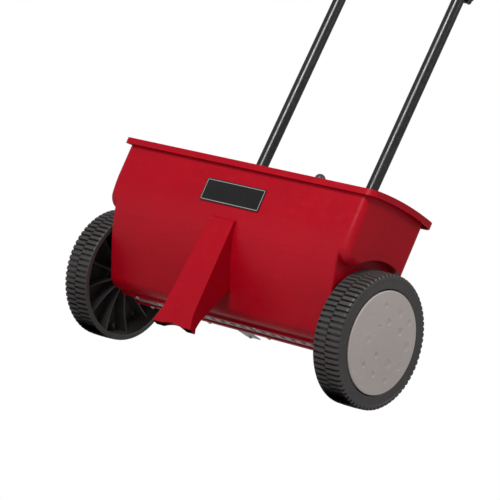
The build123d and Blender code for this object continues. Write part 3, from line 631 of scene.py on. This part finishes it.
@dataclass
class Wheel:
    """One wheel with its dimpled cap, washer and clip; the moulding is one closed surface."""

    side: Side
    radius: float = 0.1
    outer_x: float = 0.2734
    width: float = 0.046
    pitches: int = 72
    slot_half: float = 0.0018
    slot_wall_inside: float = 0.0003
    slot_wall_outside: float = 0.0002
    slot_depth: float = 0.0046
    slot_overlap: float = 0.0007
    inner_lip: float = 0.0016
    band: float = 0.009
    sidewall_radius: float = 0.078
    web_x: float = 0.264
    web: float = 0.003
    hub_radius: float = 0.014
    hub_inner_x: float = 0.2238
    bore: float = 0.0041
    sidewall: float = 0.004
    ribs: int = 12
    rib_half: float = 0.0012
    rib_depth: float = 0.024
    rib_sag: float = 0.004
    rib_round: float = 0.001
    rib_root: float = 0.001
    rib_points: int = 9
    tread_points: int = 22
    crown: float = 0.0007
    smooth: float = 32.0

    @property
    def pitch(self) -> float:
        """Length of one pitch of the tread."""
        return 2 * math.pi * self.radius / self.pitches

    @property
    def inner_x(self) -> float:
        """The moulding's inner edge along the axle."""
        return self.outer_x - self.width

    def place(self, x: Array, r: Array, angle: Array) -> Array:
        """Turn places about the axle into points.

        Args:
            x: Distances from the spreader's middle along the axle.
            r: Radii about the axle.
            angle: Angles about it, 0 to the rear.

        Returns:
            The points in the row frame.
        """
        return np.stack(
            [
                self.side.value * x,
                STANCE.axle_y + r * np.cos(angle),
                STANCE.axle_z + r * np.sin(angle),
            ],
            axis=-1,
        )

    def tread_angles(self) -> Array:
        """Angles of the tread's columns: both rows' slot walls, floors and lands, 12 a pitch."""
        w, near, far = self.slot_half, self.slot_wall_inside, self.slot_wall_outside
        half = np.array([-w - far, -w + near, -w * 0.45, w * 0.45, w - near, w + far])
        one = np.concatenate([half, half + self.pitch / 2])
        starts = np.arange(self.pitches)[:, None] * self.pitch
        return ((starts + one[None, :]) / self.radius).ravel()

    def section(self) -> Array:
        """The moulding's closed section.

        It runs from the tread over the outer shoulder and the sidewall to the web, through the
        bore, and back along the inside of the web, the pocket behind the sidewall and the band.
        The offsets of a few tenths of a millimetre are fillets.

        Returns:
            Array of (distance along the axle, radius) pairs.
        """
        inner = self.inner_x
        low = self.radius - self.slot_depth
        across = np.linspace(inner + 0.0022, self.outer_x - 0.0028, self.tread_points)
        bulge = self.crown * (1 - (2 * (across - inner) / self.width - 1) ** 2)
        tread = np.stack([across, self.radius - self.crown + bulge], axis=1)
        outside = [
            (self.outer_x - 0.0012, self.radius - 0.0016),
            (self.outer_x - 0.0003, self.radius - 0.0034),
            (self.outer_x, low - 0.0008),
            (self.outer_x, low - 0.0030),
            (self.outer_x - 0.0004, low - 0.0036),
            (self.outer_x - 0.0004, self.sidewall_radius + 0.0052),
            (self.outer_x - 0.0002, self.sidewall_radius + 0.0040),
            (self.outer_x - 0.0002, self.sidewall_radius + 0.0016),
            (self.outer_x - 0.0009, self.sidewall_radius + 0.0004),
            (self.outer_x - 0.0022, self.sidewall_radius),
            (self.web_x + self.web + 0.0012, self.sidewall_radius - 0.0005),
            (self.web_x + self.web, self.sidewall_radius - 0.0018),
            (self.web_x + self.web, self.hub_radius + 0.004),
            (self.web_x + self.web + 0.0001, self.bore),
            (self.hub_inner_x + 0.0004, self.bore),
            (self.hub_inner_x, self.bore + 0.0005),
            (self.hub_inner_x, self.hub_radius - 0.0008),
            (self.hub_inner_x + 0.0008, self.hub_radius),
            (self.web_x - 0.0016, self.hub_radius + 0.001),
            (self.web_x, self.hub_radius + 0.003),
            (self.web_x, self.sidewall_radius + 0.0016),
            (self.web_x + 0.0008, self.sidewall_radius + 0.0026),
            (self.outer_x - self.sidewall - 0.0010, self.sidewall_radius + 0.0031),
            (self.outer_x - self.sidewall, self.sidewall_radius + 0.0042),
            (self.outer_x - self.sidewall, self.radius - self.band - 0.0022),
            (self.outer_x - self.sidewall - 0.0012, self.radius - self.band - 0.0011),
            (inner + 0.0006, self.radius - self.band),
            (inner, self.radius - self.band + 0.0008),
            (inner, self.radius - 0.0034),
            (inner + 0.0004, self.radius - 0.0016),
            (inner + 0.0011, self.radius - 0.0009),
        ]
        return np.concatenate([tread, np.array(outside)])

    def slot_fill(self, x: Array, along: Array) -> Array:
        """How deep the tread is cut at a place: 1 on a slot's floor, 0 on a land.

        Each slot is a round-ended stretch; its depth follows the distance from its middle line,
        steep at the walls. One row of slots runs out over the outer shoulder, and the other, half
        a pitch further round, stops at the inner lip.

        Args:
            x: Distances along the axle.
            along: Distances along the tread's circumference.

        Returns:
            The depth of the cut at each place, as a share.
        """
        half, pitch = self.slot_half, self.pitch
        middle = self.outer_x - self.width / 2
        fill = np.zeros(np.broadcast(x, along).shape)
        outer_row = (middle - self.slot_overlap + half, self.outer_x + 0.01, 0.0)
        inner_row = (self.inner_x + self.inner_lip + half, middle + self.slot_overlap - half, 0.5)
        for start, end, shift in (outer_row, inner_row):
            across = (along / pitch - shift + 0.5) % 1.0 * pitch - pitch / 2
            beyond = np.maximum(np.maximum(start - x, x - end), 0.0)
            distance = np.hypot(across, beyond)
            wall = smoothstep(distance, half - self.slot_wall_inside, half + self.slot_wall_outside)
            fill = np.maximum(fill, 1 - wall)
        return fill

    def moulding(self) -> None:
        """Build the wheel: the section swept round the axle, with the slots pressed into it."""
        angles = self.tread_angles()
        section = self.section()
        x, r = section[:, 0][:, None], section[:, 1][:, None]
        cut = self.slot_fill(x, angles[None, :] * self.radius)
        floor = self.radius - self.slot_depth
        outside = (r > floor - 0.0004) & (x > self.inner_x + 0.0015)
        depth = np.where(outside, np.maximum(r - floor, 0.0) * cut, 0.0)
        mesh = Mesh()
        mesh.grid(self.place(x + 0 * cut, r - depth, angles[None, :] + 0 * x), True, True)
        self.add_ribs(mesh)
        name = f"wheel_{self.side.word}"
        piece = mesh.piece(f"{name}_moulding", self.smooth)
        dress(piece, TYRE, self.side.wheel_body, "wheel_plastic", name)

    def add_ribs(self, mesh: Mesh) -> None:
        """Add the radial ribs between hub and band.

        A rib's section is a rounded-top slab; its open edge sinks in a shallow arc between the
        hub and the band. A corner of the section is a share of the half thickness and a height,
        where 1 stands for the web.

        Args:
            mesh: The mesh that the ribs go into.
        """
        count = self.rib_points
        start, end = self.hub_radius - self.rib_root, self.radius - self.band + self.rib_root
        spans = np.linspace(start, end, count)
        sag = self.rib_sag * np.sin(math.pi * np.linspace(0, 1, count))
        edge = self.web_x - self.rib_depth + sag
        corners = (
            (-1.0, 1.0), (-0.95, 0.0), (-0.5, -0.45), (0.5, -0.45), (0.95, 0.0), (1.0, 1.0)
        )
        for k in range(self.ribs):
            angle = 2 * math.pi * (k + 0.5) / self.ribs
            out = np.array([0.0, math.cos(angle), math.sin(angle)])
            aside = np.array([0.0, -math.sin(angle), math.cos(angle)])
            rows = []
            for v, u in corners:
                in_web = np.full(count, self.web_x + 0.0005)
                depth = in_web if u == 1.0 else edge + self.rib_round * u
                row = spans[:, None] * out + self.rib_half * v * aside
                row[:, 0] = self.side.value * depth
                rows.append(row + np.array([0.0, STANCE.axle_y, STANCE.axle_z]))
            grid = np.stack(rows)
            mesh.grid(grid, wrap_rows=True)
            mesh.add(grid[:, 0], [list(range(len(corners)))])
            mesh.add(grid[:, -1], [list(range(len(corners)))])

    def build(self) -> None:
        """Build the wheel and its cap, and finish what holds it on the axle."""
        self.moulding()
        HubCap(self).build()
        coat(STEEL, f"axle_washer_{self.side.word}", f"axle_clip_{self.side.word}")


@dataclass(frozen=True)
class Dimple:
    """A round hollow in a cap: place from the cap's middle, angle with 0 to the rear, size."""

    ring: float
    angle: float
    radius: float
    depth: float = 0.0010


@dataclass
class HubCap:
    """Domed cap with scattered dimples of several sizes, on a skirt against the wheel's web."""

    wheel: Wheel
    radius: float = 0.0765
    face_x: float = 0.2752
    dome: float = 0.0012
    thickness: float = 0.0026
    skirt_radius: float = 0.0740
    skirt: float = 0.0024
    deepen: float = 1.5
    columns: int = 264
    rings: int = 92
    pole: float = 1e-5
    lip_share: float = 0.55
    bowl_share: float = 0.45
    smooth: float = 40.0
    dimples: tuple[Dimple, ...] = (
        Dimple(0.0556, 127.7, 0.0037, 0.0011),
        Dimple(0.0531, 160.7, 0.0023, 0.0007),
        Dimple(0.0523, 86.7, 0.0060, 0.0007),
        Dimple(0.0316, 111.7, 0.0053, 0.0013),
        Dimple(0.0609, 60.7, 0.0046, 0.0012),
        Dimple(0.0285, 150.7, 0.0030, 0.0009),
        Dimple(0.0382, 56.7, 0.0061, 0.0014),
        Dimple(0.0358, 200.7, 0.0052, 0.0008),
        Dimple(0.0555, 24.7, 0.0069, 0.0009),
        Dimple(0.0211, -97.3, 0.0045, 0.0013),
        Dimple(0.0492, -110.3, 0.0045, 0.0013),
        Dimple(0.0352, -28.3, 0.0068, 0.0010),
        Dimple(0.0564, -8.3, 0.0053, 0.0010),
        Dimple(0.0460, -75.3, 0.0048, 0.0013),
        Dimple(0.0577, -41.3, 0.0043, 0.0011),
    )

    def face(self, r: Array, angle: Array) -> Array:
        """Height of the face: a shallow dome, less a round bowl at each dimple.

        A bowl is part a step with a rounded lip and part a paraboloid.

        Args:
            r: Radii about the axle.
            angle: Angles about it, 0 to the rear.

        Returns:
            The face's distances along the axle.
        """
        height = self.face_x + self.dome * (1 - (r / self.radius) ** 2)
        y, z = r * np.cos(angle), r * np.sin(angle)
        for d in self.dimples:
            at = math.radians(d.angle)
            far = np.hypot(y - d.ring * math.cos(at), z - d.ring * math.sin(at)) / d.radius
            lip = smoothstep(-far, -1.04, -0.62)
            bowl = self.lip_share * lip + self.bowl_share * np.clip(1 - far**2, 0.0, 1.0)
            height = height - self.deepen * d.depth * bowl
        return height

    def build(self) -> None:
        """Sweep the cap's section round the axle: face, rounded rim, back and skirt."""
        angles = np.linspace(0, 2 * math.pi, self.columns, endpoint=False)
        radii = np.concatenate([[self.pole], np.linspace(0.0008, self.radius - 0.0016, self.rings)])
        face_x = self.face(radii[:, None], angles[None, :])
        rows = [self.wheel.place(face_x, radii[:, None] + 0 * face_x, angles[None, :] + 0 * face_x)]
        back = self.face_x - self.thickness
        inner = self.wheel.web_x + self.wheel.web
        edge = [
            (self.face_x - 0.00012, self.radius - 0.0008),
            (self.face_x - 0.0006, self.radius - 0.0002),
            (self.face_x - 0.0012, self.radius),
            (back + 0.0003, self.radius),
            (back, self.radius - 0.0003),
            (back, self.skirt_radius),
            (inner, self.skirt_radius),
            (inner, self.skirt_radius - self.skirt),
            (back, self.skirt_radius - self.skirt),
            (back, 0.03),
            (back, self.pole),
        ]
        for x, r in edge:
            rows.append(self.wheel.place(x + 0 * angles, r + 0 * angles, angles)[None])
        mesh = Mesh()
        mesh.grid(np.concatenate(rows), wrap_rows=True, wrap_cols=True)
        node = f"hub_cap_{self.wheel.side.word}"
        piece = mesh.piece(f"{node}_dimpled", self.smooth)
        dress(piece, CAP, self.wheel.side.wheel_body, "cap_grey", node)


@dataclass
class PanHead:
    """A pan-head screw with a cross recess, standing along an axis of the leaning frame."""

    node: str
    body: Body
    seat: Point
    axis: Point
    radius: float = 0.0032
    height: float = 0.0020
    shank: float = 0.0016
    length: float = 0.0085
    recess: float = 0.0010
    arm: float = 0.0019
    arm_half: float = 0.00042
    columns: int = 40
    rings: tuple[float, ...] = (0.02, 0.12, 0.2, 0.3, 0.42, 0.55, 0.66, 0.78, 0.9, 0.97, 1.0)
    rim_share: float = 0.35
    dome_share: float = 0.65
    smooth: float = 38.0

    def build(self) -> None:
        """Turn the screw's section; the cross is pressed into the rounded head.

        The head's height falls off with the radius as a flattened ellipse. The cross is where
        either of two crossed bars, rounded at the walls, covers a point.
        """
        angle = np.linspace(0, 2 * math.pi, self.columns, endpoint=False)
        r, a = np.meshgrid(np.array(self.rings) * self.radius, angle, indexing="ij")
        dome = np.sqrt(np.clip(1 - (r / (self.radius * 1.02)) ** 2, 0, 1))
        top = self.height * (self.rim_share + self.dome_share * dome)
        u, v = r * np.cos(a), r * np.sin(a)
        bars = np.minimum(
            np.maximum(np.abs(u) - self.arm, np.abs(v) - self.arm_half),
            np.maximum(np.abs(v) - self.arm, np.abs(u) - self.arm_half),
        )
        top = top - self.recess * (1 - smoothstep(bars, -0.0001, 0.0003))
        rows = [np.stack([u, v, top], axis=-1)]
        under = (
            (self.radius, 0.0002),
            (self.radius - 0.0002, 0.0),
            (self.shank, 0.0),
            (self.shank, -self.length + 0.0006),
            (self.shank * 0.4, -self.length),
            (ALMOST_ZERO, -self.length),
        )
        for radius, level in under:
            ring = [radius * np.cos(angle), radius * np.sin(angle), 0 * angle + level]
            rows.append(np.stack(ring, axis=-1)[None])
        local = np.concatenate(rows)
        local[0, :, :2] = 0.0
        mesh = Mesh()
        mesh.grid(self.stand(local), wrap_cols=True)
        piece = mesh.piece(f"{self.node}_cross_head", self.smooth)
        dress(piece, STEEL, self.body, "steel", self.node)

    def stand(self, local: Array) -> Array:
        """Turn the screw's own points to its axis and move them to its seat.

        Args:
            local: Points with the seat at the origin and the head towards +Z.

        Returns:
            The points in the row frame.
        """
        w = Vector(STANCE.turn(self.axis)).normalized()
        u = w.orthogonal().normalized()
        basis = np.array([u, w.cross(u), w])
        return local @ basis + STANCE.row(np.array(self.seat))


@dataclass
class Hopper:
    """The red moulding, and the bare plate with its thin border on the front wall."""

    front_y: float = -0.1135
    sump_y: float = -0.0457
    sump_z: float = -0.028
    plate_z: float = 0.1332
    plate_width: float = 0.116
    plate_height: float = 0.036
    plate_thickness: float = 0.0012
    border_inset: float = 0.0017
    border: float = 0.0009
    corner: float = 0.003
    knee_z: float = 0.076
    knee_half: float = 0.055
    knee_depth: float = 0.0088
    knee_blunt: float = 0.06
    wall: float = 0.003
    give: float = 0.040
    foot_half: float = 0.0385
    cuts: int = 30
    smooth: float = 38.0
    line_smooth: float = 30.0

    def outline(self, inset: float, raised: float, steps: int = 8) -> Array:
        """A rounded rectangle on the front wall, one round arc to a corner.

        Args:
            inset: How far inside the plate's edge it lies.
            raised: How far in front of the wall it lies.
            steps: Points of each corner's arc.

        Returns:
            Array of shape (4 * steps, 3) in the row frame.
        """
        w, h = self.plate_width / 2 - inset, self.plate_height / 2 - inset
        c = max(self.corner - inset, 0.0004)
        arc = np.linspace(0, math.pi / 2, steps)
        corners = ((0.0, 1, 1), (0.5, -1, 1), (1.0, -1, -1), (1.5, 1, -1))
        x = np.concatenate([i * (w - c) + c * np.cos(arc + q * math.pi) for q, i, _ in corners])
        z = np.concatenate([k * (h - c) + c * np.sin(arc + q * math.pi) for q, _, k in corners])
        y = np.full_like(x, self.front_y - raised)
        return STANCE.row(np.stack([x, y, self.plate_z + z], axis=1))

    def plate(self) -> None:
        """Build the plate, with eased edges, as loops from its back to its middle."""
        t = self.plate_thickness
        loops = [
            self.outline(0.0, 0.0),
            self.outline(0.0, t - 0.0003),
            self.outline(0.0001, t - 0.0001),
            self.outline(0.0004, t),
            self.outline(0.004, t),
            self.outline(0.0155, t),
        ]
        mesh = Mesh()
        grid = np.stack(loops)
        mesh.grid(grid, wrap_cols=True)
        count = grid.shape[1]
        mesh.add(grid[0], [list(range(count))])
        mesh.add(grid[-1], [list(range(count))])
        piece = mesh.piece("front_plate_gloss", self.line_smooth)
        dress(piece, PLATE, Body.CHASSIS, "plate_black", "front_plate")

    def border_line(self) -> None:
        """Build the thin raised line along the plate's edge, as a closed tube of loops."""
        t = self.plate_thickness
        near, far = self.border_inset, self.border_inset + self.border
        loops = [
            self.outline(near, t - 0.0002),
            self.outline(near, t + 0.0001),
            self.outline(near + 0.0001, t + 0.0002),
            self.outline(far - 0.0001, t + 0.0002),
            self.outline(far, t + 0.0001),
            self.outline(far, t - 0.0002),
        ]
        mesh = Mesh()
        mesh.grid(np.stack(loops), wrap_rows=True, wrap_cols=True)
        piece = mesh.piece("front_plate_border", self.line_smooth)
        dress(piece, BORDER, Body.CHASSIS, "plate_black")

    def eased_knee(self) -> None:
        """Show the moulding by a copy whose front wall bends in one broad curve at the knee.

        The copy is sliced level by level. A point then moves to the rear by (1 - u)^2 of the
        knee's depth, where u is how far its height is from the knee as a share of the bend's half
        height. That curve meets itself at the knee in a blunt corner which undoes the crease, and
        leaves one long arc. The shift holds through the wall and fades out behind it; the foot's
        own faces, which lie in front of the wall, stay.
        """
        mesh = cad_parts["hopper"].data.copy()
        bm = bmesh.new()
        bm.from_mesh(mesh)
        bmesh.ops.remove_doubles(bm, verts=bm.verts, dist=MERGE)
        up = STANCE.turn((0.0, 0.0, 1.0))
        low, high = self.knee_z - self.knee_half, self.knee_z + self.knee_half
        for height in np.linspace(low, high, self.cuts):
            level = STANCE.row(np.array([0.0, 0.0, height]))
            every = bm.verts[:] + bm.edges[:] + bm.faces[:]
            bmesh.ops.bisect_plane(bm, geom=every, dist=ALMOST_ZERO, plane_co=level, plane_no=up)
        points = np.array([v.co for v in bm.verts])
        x, y, z = self.own(points)
        from_knee = np.hypot((z - self.knee_z) / self.knee_half, self.knee_blunt)
        hump = self.knee_depth * np.clip(1 - from_knee, 0.0, 1.0) ** 2
        slope = (self.sump_y - self.front_y) / (self.knee_z - self.sump_z)
        face = self.front_y + np.maximum(self.knee_z - z, 0.0) * slope
        behind = y - face
        hold = 1 - smoothstep(behind, self.wall + 0.001, self.wall + self.give)
        on_foot = (np.abs(x) < self.foot_half) & (behind < -0.0004)
        shift = hump * np.where(on_foot, 0.0, hold)
        moved = points + shift[:, None] * STANCE.turn((0.0, 1.0, 0.0))
        for vert, place in zip(bm.verts, moved):
            vert.co = place
        bm.to_mesh(mesh)
        bm.free()
        piece = finished("hopper_moulding", mesh, self.smooth, MERGE)
        dress(piece, RED, Body.CHASSIS, "red_plastic", "hopper")

    @staticmethod
    def own(points: Array) -> tuple[Array, Array, Array]:
        """Turn points of the row frame into the leaning frame.

        Args:
            points: Array of shape (n, 3) in the row frame.

        Returns:
            The x, y and z of the same points in the leaning frame.
        """
        y, z = points[:, 1] - STANCE.axle_y, points[:, 2] - STANCE.axle_z
        c, s = math.cos(STANCE.lean), math.sin(STANCE.lean)
        return points[:, 0], y * c + z * s, z * c - y * s

    def build(self) -> None:
        """Build the hopper with its eased knee, the plate and its border."""
        self.eased_knee()
        self.plate()
        self.border_line()


@dataclass
class Drivetrain:
    """Axle, its cross pin, the two bushes and the feed roller."""

    blade_edge: float = 0.0004

    def build(self) -> None:
        """Finish the pieces that turn with the axle and the bushes that carry it."""
        coat(STEEL, "axle", "drive_pin")
        coat(BLACK, "axle_bush_left", "axle_bush_right")
        eased("feed_roller", BLACK, Body.DRIVE, "black_plastic", self.blade_edge)


@dataclass
class Shutter:
    """The slotted plate under the sump, its rails and their screws."""

    rail_bottom: float = -0.032
    screw_y: float = 0.020
    screw_pitch: float = 0.12
    screws: int = 4
    plate_edge: float = 0.00025
    rail_edge: float = 0.0005

    def build(self) -> None:
        """Finish plate and rails, and build the eight cross-head screws."""
        eased("shutter", ZINC, Body.SHUTTER, "zinc_plate", self.plate_edge)
        for sign, word in ((-1, "front"), (1, "rear")):
            eased(f"shutter_rail_{word}", RED, Body.CHASSIS, "red_plastic", self.rail_edge)
            for k in range(self.screws):
                x = (k - (self.screws - 1) / 2) * self.screw_pitch
                seat = (x, sign * self.screw_y, self.rail_bottom)
                PanHead(f"rail_screw_{word}_{k + 1}", Body.CHASSIS, seat, (0, 0, -1)).build()


@dataclass
class Handle:
    """Lower tubes, bent push bar and foam grip, with what clamps and joins them."""

    tube_x: float = 0.110
    tube_y: float = 0.035
    back_y: float = 0.034
    saddle_along: float = 0.150
    saddle_ear: float = 0.0035
    screw_x: float = 0.021
    tube_lean: float = 2.36
    top: float = 0.985
    tube_radius: float = 0.0095
    grip_radius: float = 0.014
    grip_length: float = 0.108
    grip_end: float = 0.0035
    grip_drop: float = 0.0032
    grip_skin: float = 0.00035
    grip_play: float = 0.00005
    grip_columns: int = 72
    grip_rows: int = 61
    grip_smooth: float = 45.0
    saddle_edge: float = 0.0006
    knob_edge: float = 0.0009

    def grip(self) -> None:
        """Build the foam sleeve: a tube whose outside swells and dips faintly, with soft ends.

        The swelling is the sum of two sines along the sleeve, and each end follows a quarter
        circle over the last few millimetres.
        """
        turn = np.linspace(0, 2 * math.pi, self.grip_columns, endpoint=False)
        t = np.linspace(0, 1, self.grip_rows)
        half = self.grip_length / 2
        x = -half + self.grip_length * t
        near = np.clip(np.minimum(x + half, half - x) / self.grip_end, 0, 1)
        end = np.sqrt(np.clip(1 - (1 - near) ** 2, 0, 1))
        wave = 0.00018 * np.sin(9 * x / half + 0.4) + 0.00012 * np.sin(23 * x / half)
        r = self.grip_radius - self.grip_skin - self.grip_drop * (1 - end) + wave * end
        around = r[:, None]
        ring = [x[:, None] + 0 * turn, around * np.cos(turn), around * np.sin(turn)]
        outside = np.stack(ring, axis=-1)
        bore = self.tube_radius + self.grip_play
        inside = [
            np.stack([at + 0 * turn, bore * np.cos(turn), bore * np.sin(turn)], axis=-1)[None]
            for at in np.linspace(half, -half, 7)
        ]
        local = np.concatenate([outside, *inside])
        lean = math.radians(self.tube_lean)
        centre_y = self.tube_y + self.top * math.sin(lean)
        centre_z = self.top * math.cos(lean)
        points = STANCE.row(local + np.array([0.0, centre_y, centre_z]))
        mesh = Mesh()
        mesh.grid(points, wrap_rows=True, wrap_cols=True)
        piece = mesh.piece("grip_sleeve", self.grip_smooth)
        dress(piece, FOAM, Body.CHASSIS, "grip_foam", "grip")

    def build(self) -> None:
        """Finish tubes and clamps, and build the grip and the saddles' screws."""
        coat(TUBE, "push_bar")
        for side in Side:
            word = side.word
            coat(TUBE, f"handle_tube_{word}")
            coat(STEEL, f"saddle_bolt_{word}", f"joint_bolt_{word}", f"wing_nut_{word}")
            eased(f"tube_saddle_{word}", BLACK, Body.CHASSIS, "black_plastic", self.saddle_edge)
            eased(f"star_knob_{word}", BLACK, Body.CHASSIS, "black_plastic", self.knob_edge)
            for sign, place in ((-side.value, "inner"), (side.value, "outer")):
                x = side.value * self.tube_x + sign * self.screw_x
                seat = (x, self.back_y + self.saddle_ear, self.saddle_along)
                PanHead(f"saddle_screw_{word}_{place}", Body.CHASSIS, seat, (0, 1, 0)).build()
        self.grip()


@dataclass
class DoseControl:
    """Notched quadrant, lever with its knob, and the screws that hold them."""

    pivot_z: float = 0.010
    back_y: float = 0.0435
    thickness: float = 0.0025
    ring: float = 0.135
    screw_angle: float = 18.0
    edge: float = 0.0004

    def build(self) -> None:
        """Finish quadrant, lever and knob, and build the quadrant's screws."""
        eased("dose_quadrant", BLACK, Body.CHASSIS, "black_plastic", self.edge)
        eased("dose_lever", ZINC, Body.LEVER, "zinc_plate", self.edge)
        coat(KNOB, "lever_knob")
        coat(STEEL, "pivot_screw")
        for side in Side:
            angle = math.radians(90 - self.screw_angle * side.value)
            x = self.ring * math.cos(angle)
            z = self.pivot_z + self.ring * math.sin(angle)
            seat = (x, self.back_y + self.thickness, z)
            PanHead(f"quadrant_screw_{side.word}", Body.CHASSIS, seat, (0, 1, 0)).build()


@dataclass(frozen=True)
class Shot:
    """The photograph's view: the camera's place and axes in the leaning frame, and its lens."""

    place: Point = (2.5981, -3.0204, -0.7120)
    right: Point = (0.7442, 0.5439, 0.3879)
    up: Point = (-0.1806, -0.3953, 0.9006)
    back: Point = (0.6431, -0.7403, -0.1960)
    lens: float = 194.98
    sensor: float = 36.0
    reach: float = 60.0

    def axes(self) -> Matrix:
        """The camera's right, up and back, turned into the row frame, as columns."""
        columns = [STANCE.turn(axis) for axis in (self.right, self.up, self.back)]
        return Matrix(np.array(columns).T.tolist())

    def build(self) -> None:
        """Make the camera and make it the scene's."""
        data = bpy.data.cameras.new("camera")
        data.lens = self.lens
        data.sensor_width = self.sensor
        data.clip_end = self.reach
        camera = bpy.data.objects.new("camera", data)
        place = Matrix.Translation(STANCE.row(np.array(self.place)).tolist())
        camera.matrix_world = place @ self.axes().to_4x4()
        bpy.context.scene.collection.objects.link(camera)
        bpy.context.scene.camera = camera


@dataclass(frozen=True)
class Lamp:
    """A square soft lamp; its place is in the photograph's right, up and towards-camera axes."""

    name: str
    toward: Point
    distance: float
    size: float
    power: float

    def build(self, shot: Shot, target: Vector) -> None:
        """Hang the lamp and turn it to the target.

        Args:
            shot: The view whose axes the lamp's direction is given in.
            target: The point that it shines at.
        """
        direction = (shot.axes() @ Vector(self.toward)).normalized()
        data = bpy.data.lights.new(self.name, "AREA")
        data.size = self.size
        data.energy = self.power
        lamp = bpy.data.objects.new(self.name, data)
        lamp.location = target + direction * self.distance
        lamp.rotation_euler = direction.to_track_quat("Z", "Y").to_euler()
        bpy.context.scene.collection.objects.link(lamp)


@dataclass(frozen=True)
class Studio:
    """Pale floor that is clear from below, white surroundings and soft lamps."""

    target: Point = (0.0, 0.0, 0.25)
    ambient: float = 0.30
    floor_colour: Colour = (0.80, 0.80, 0.80)
    floor_half: float = 4.0
    lamps: tuple[Lamp, ...] = (
        Lamp("key", (-0.25, 0.95, 0.80), 2.4, 0.8, 42.0),
        Lamp("side", (1.0, 0.45, 0.25), 2.6, 0.9, 18.0),
    )

    def build(self, shot: Shot) -> None:
        """Set up the floor, world and lamps.

        Args:
            shot: The view that the lamps are placed by.
        """
        scene = bpy.context.scene
        scene.view_settings.view_transform = "Standard"
        self.floor()
        self.world()
        for lamp in self.lamps:
            lamp.build(shot, Vector(self.target))

    def floor(self) -> None:
        """Lay a pale floor that is seen only from above, since the camera is below it."""
        mesh = bpy.data.meshes.new("floor")
        half = self.floor_half
        corners = [(-half, -half, 0), (half, -half, 0), (half, half, 0), (-half, half, 0)]
        mesh.from_pydata(corners, [], [(0, 1, 2, 3)])
        floor = bpy.data.objects.new("floor", mesh)
        bpy.context.scene.collection.objects.link(floor)
        graph = Graph("pale_floor")
        graph.set(Base_Color=self.floor_colour, Roughness=0.9)
        facing = graph.nodes.new("ShaderNodeNewGeometry")
        clear = graph.nodes.new("ShaderNodeBsdfTransparent")
        choose = graph.nodes.new("ShaderNodeMixShader")
        graph.links.new(facing.outputs["Backfacing"], choose.inputs["Fac"])
        graph.links.new(graph.shader.outputs["BSDF"], choose.inputs[1])
        graph.links.new(clear.outputs["BSDF"], choose.inputs[2])
        graph.links.new(choose.outputs["Shader"], graph.nodes["Material Output"].inputs["Surface"])
        mesh.materials.append(graph.material)

    def world(self) -> None:
        """White for the camera and through glass, and a softer grey for the light it gives."""
        world = bpy.data.worlds.new("studio")
        bpy.context.scene.world = world
        world.use_nodes = True
        nodes, links = world.node_tree.nodes, world.node_tree.links
        path = nodes.new("ShaderNodeLightPath")
        seen = nodes.new("ShaderNodeMath")
        seen.operation = "ADD"
        seen.use_clamp = True
        links.new(path.outputs["Is Camera Ray"], seen.inputs[0])
        links.new(path.outputs["Is Transmission Ray"], seen.inputs[1])
        strength = nodes.new("ShaderNodeMapRange")
        links.new(seen.outputs["Value"], strength.inputs["Value"])
        strength.inputs["To Min"].default_value = self.ambient
        strength.inputs["To Max"].default_value = 1.0
        background = nodes["Background"]
        background.inputs["Color"].default_value = (1.0, 1.0, 1.0, 1.0)
        links.new(strength.outputs["Result"], background.inputs["Strength"])


@dataclass
class Spreader:
    """The whole spreader, as its sub-assemblies in the order they are dressed."""

    units: list[Unit] = field(
        default_factory=lambda: [
            Hopper(),
            Drivetrain(),
            Wheel(Side.LEFT),
            Wheel(Side.RIGHT),
            Shutter(),
            Handle(),
            DoseControl(),
        ]
    )

    def build(self) -> None:
        """Build each sub-assembly."""
        for unit in self.units:
            log.info("building %s", type(unit).__name__)
            unit.build()


def main() -> None:
    """Build the view, the studio and the spreader."""
    logging.basicConfig(level=logging.INFO, format="%(name)s: %(message)s")
    shot = Shot()
    shot.build()
    Studio().build(shot)
    Spreader().build()


if __name__ == "__main__":
    main()
